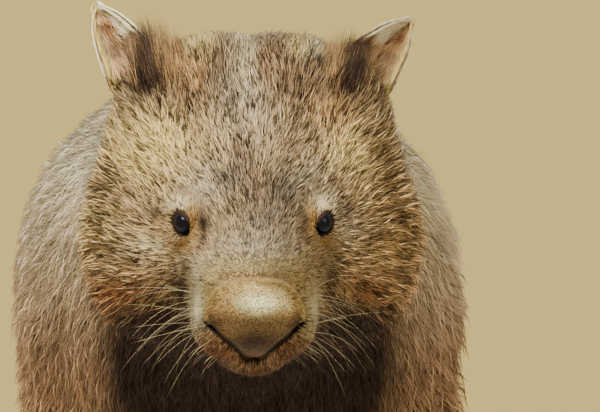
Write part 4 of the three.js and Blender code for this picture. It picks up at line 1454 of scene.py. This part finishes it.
def add_bristles():
    count = TUFTS["bristles"]
    side = np.where(rng.random(count) < 0.5, -1.0, 1.0)
    x = side * rng.uniform(3, 30, count)
    z = -92 + 26 * (np.abs(x) / 36) ** 1.6 + rng.uniform(-5, 5, count)
    roots, hit = on_muzzle(np.stack([x, np.full(count, -120.0), z], 1), np.array([0, 1, 0]))
    ways = np.stack([x / 30 + rng.normal(0, 0.15, count), rng.uniform(-0.5, 0.1, count),
                     -0.8 + 0.5 * np.abs(x) / 36], 1)
    tone = STRAW * rng.uniform(0.15, 0.6, (count, 1)) + RUFOUS * 0.2
    add_strands("coat_bristles", roots[hit], ways[hit], rng.uniform(5, 15, hit.sum()),
                rng.uniform(0.1, 0.5, hit.sum()), 0.16, tone[hit], 5)


add_whiskers()
add_bristles()

# Claws: curved, tapering horn

TOE_FLAT = 2.2
CLAW_UP = 2.4
CLAW_RINGS = 18
CLAW_CELLS = 14
CLAWS = {
    "fore": {"count": 5, "fan": 7, "length": 25, "width": 6.8, "height": 8},
    "hind": {"count": 4, "fan": 4, "length": 17, "width": 6.3, "height": 6.5},
}


def claw_form(sizes):
    """One claw along -Y from its root, and how far along it each of its points lies."""
    t = np.linspace(0, 1, CLAW_RINGS)[:, None]
    angle = np.arange(CLAW_CELLS) * 2 * math.pi / CLAW_CELLS
    slim = 1 - 0.9 * t ** 1.5
    x = np.cos(angle) * sizes["width"] * 0.5 * slim
    y = 0 * angle - t * sizes["length"]
    z = np.sin(angle) * sizes["height"] * 0.5 * slim - 0.3 * sizes["length"] * t * t
    one = np.stack([x, y, z], -1).reshape(-1, 3)
    ends = [one[:CLAW_CELLS].mean(0), one[-CLAW_CELLS:].mean(0) + [0, -0.6, -0.3]]
    return np.concatenate([one, ends]), np.concatenate([np.repeat(t[:, 0], CLAW_CELLS), [0, 1]])


def add_claws(name, side, kind, stride):
    sizes = CLAWS[name[:4]]
    one, share = claw_form(sizes)
    origin, axes = paw_frame(side, kind, stride)
    places = []
    for n in range(sizes["count"]):
        off = (n if side > 0 else kind["toes"] - 1 - n) - (kind["toes"] - 1) / 2
        turn = math.radians(off * sizes["fan"])
        reach = TOE_RADIUS - TOE_FLAT
        root = toe_end(kind, off) + np.array([math.sin(turn) * reach, -math.cos(turn) * reach, CLAW_UP])
        places.append((one @ turned(turn, "z").T + root) @ axes.T + origin)
    faces = tube_faces(CLAW_RINGS, CLAW_CELLS)
    corners = [faces + n * len(one) for n in range(len(places))]
    piece = mesh_of("claws_" + name, np.concatenate(places), np.concatenate(corners))
    tint = np.array([0.085, 0.062, 0.045]) + share[:, None] * [0.17, 0.13, 0.09]
    tint_mesh(piece, np.tile(tint, (len(places), 1)))
    piece.data.materials.append(horn)
    nodes = [f"{name.replace('leg', 'claw')}_{n + 1}" for n in range(sizes["count"])]
    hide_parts(*nodes)
    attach(piece, "root")


for name, side, kind, stride in LEGS:
    add_claws(name, side, kind, stride)

# Floor, lights and camera

HORIZON = (0.90, 0.68, 0.22, 1)
OVERHEAD = (0.55, 0.54, 0.52, 1)
PALE_FLOOR = (0.74, 0.70, 0.62, 1)
FLOOR_RADIUS = 9
FLOOR_CORNERS = 64
# Place, what it points at, its size, its power and its colour
LIGHTS = {
    "key": ((-0.85, -1.8, 1.85), (0.03, -0.3, 0.22), 1.3, 122, (1.0, 0.96, 0.88)),
    "fill": ((1.6, -1.9, 1.0), (0.03, -0.3, 0.2), 1.4, 16, (1.0, 0.95, 0.86)),
    "back": ((0.6, 2.2, 1.9), (0.0, 0.1, 0.2), 1.6, 24, (1.0, 0.97, 0.92)),
}
LENS = 166
DISTANCE = 1.665
ELEVATION = math.radians(2)
AIM_RIGHT = 0.0282  # from the middle of the eyes to the middle of the picture
AIM_UP = 0.0099


def smooth_mix(tree, value, start, end, first, second):
    """Goes from one colour to another as a value rises; gives that share as well."""
    share = add_node(tree, "ShaderNodeMapRange", {"interpolation_type": "SMOOTHSTEP"},
                     {"From Min": start, "From Max": end}, {"Value": value}).outputs["Result"]
    mix = add_node(tree, "ShaderNodeMix", {"data_type": "RGBA"},
                   {"A": first, "B": second}, {"Factor": share})
    return share, mix.outputs["Result"]


def floor_material():
    """Pale under the animal, and out to the sides the even colour of the horizon."""
    finish = {"Roughness": 0.9, "Specular IOR Level": 0, "Emission Color": HORIZON}
    material, tree, shader = new_material("floor", finish)
    place = tree.nodes.new("ShaderNodeNewGeometry").outputs["Position"]
    far = add_node(tree, "ShaderNodeVectorMath", {"operation": "LENGTH"}, {}, {0: place})
    share, tone = smooth_mix(tree, far.outputs["Value"], 0.5, 0.85, PALE_FLOOR, (0, 0, 0, 1))
    tree.links.new(tone, shader.inputs["Base Color"])
    tree.links.new(share, shader.inputs["Emission Strength"])
    return material


def add_floor():
    mesh = bpy.data.meshes.new("floor")
    turns = [n * 2 * math.pi / FLOOR_CORNERS for n in range(FLOOR_CORNERS)]
    ring = [(FLOOR_RADIUS * math.cos(turn), FLOOR_RADIUS * math.sin(turn), 0) for turn in turns]
    mesh.from_pydata(ring, [], [list(range(FLOOR_CORNERS))])
    mesh.materials.append(floor_material())
    link("floor", mesh)


def add_world():
    world = bpy.data.worlds.new("studio")
    world.use_nodes = True
    tree = world.node_tree
    coords = tree.nodes.new("ShaderNodeTexCoord").outputs["Generated"]
    parts = add_node(tree, "ShaderNodeSeparateXYZ", {}, {}, {"Vector": coords})
    sky = smooth_mix(tree, parts.outputs["Z"], 0.06, 0.35, HORIZON, OVERHEAD)[1]
    tree.links.new(sky, tree.nodes["Background"].inputs["Color"])
    bpy.context.scene.world = world


def point_along(thing, way):
    thing.rotation_mode = "QUATERNION"
    thing.rotation_quaternion = way.to_track_quat("-Z", "Y")


def add_light(name, place, aim, size, power, colour):
    lamp = bpy.data.lights.new(name, "AREA")
    lamp.shape = "DISK"
    lamp.size = size
    lamp.energy = power
    lamp.color = colour
    light = link(name, lamp)
    light.location = place
    point_along(light, Vector(aim) - Vector(place))


add_floor()
add_world()
for name, values in LIGHTS.items():
    add_light(name, *values)

between = ((eye_centre(1) + eye_centre(-1)) / 2 + SHIFT) / 1000
back = Vector((0, -math.cos(ELEVATION), math.sin(ELEVATION)))
upright = Vector((0, math.sin(ELEVATION), math.cos(ELEVATION)))
aim = Vector(between) + Vector((AIM_RIGHT, 0, 0)) + upright * AIM_UP
camera_data = bpy.data.cameras.new("camera")
camera_data.lens = LENS
camera_data.sensor_width = 36
camera_data.clip_start = 0.05
camera_data.clip_end = 50
camera = link("camera", camera_data)
camera.location = aim + back * DISTANCE
point_along(camera, -back)
bpy.context.scene.camera = camera
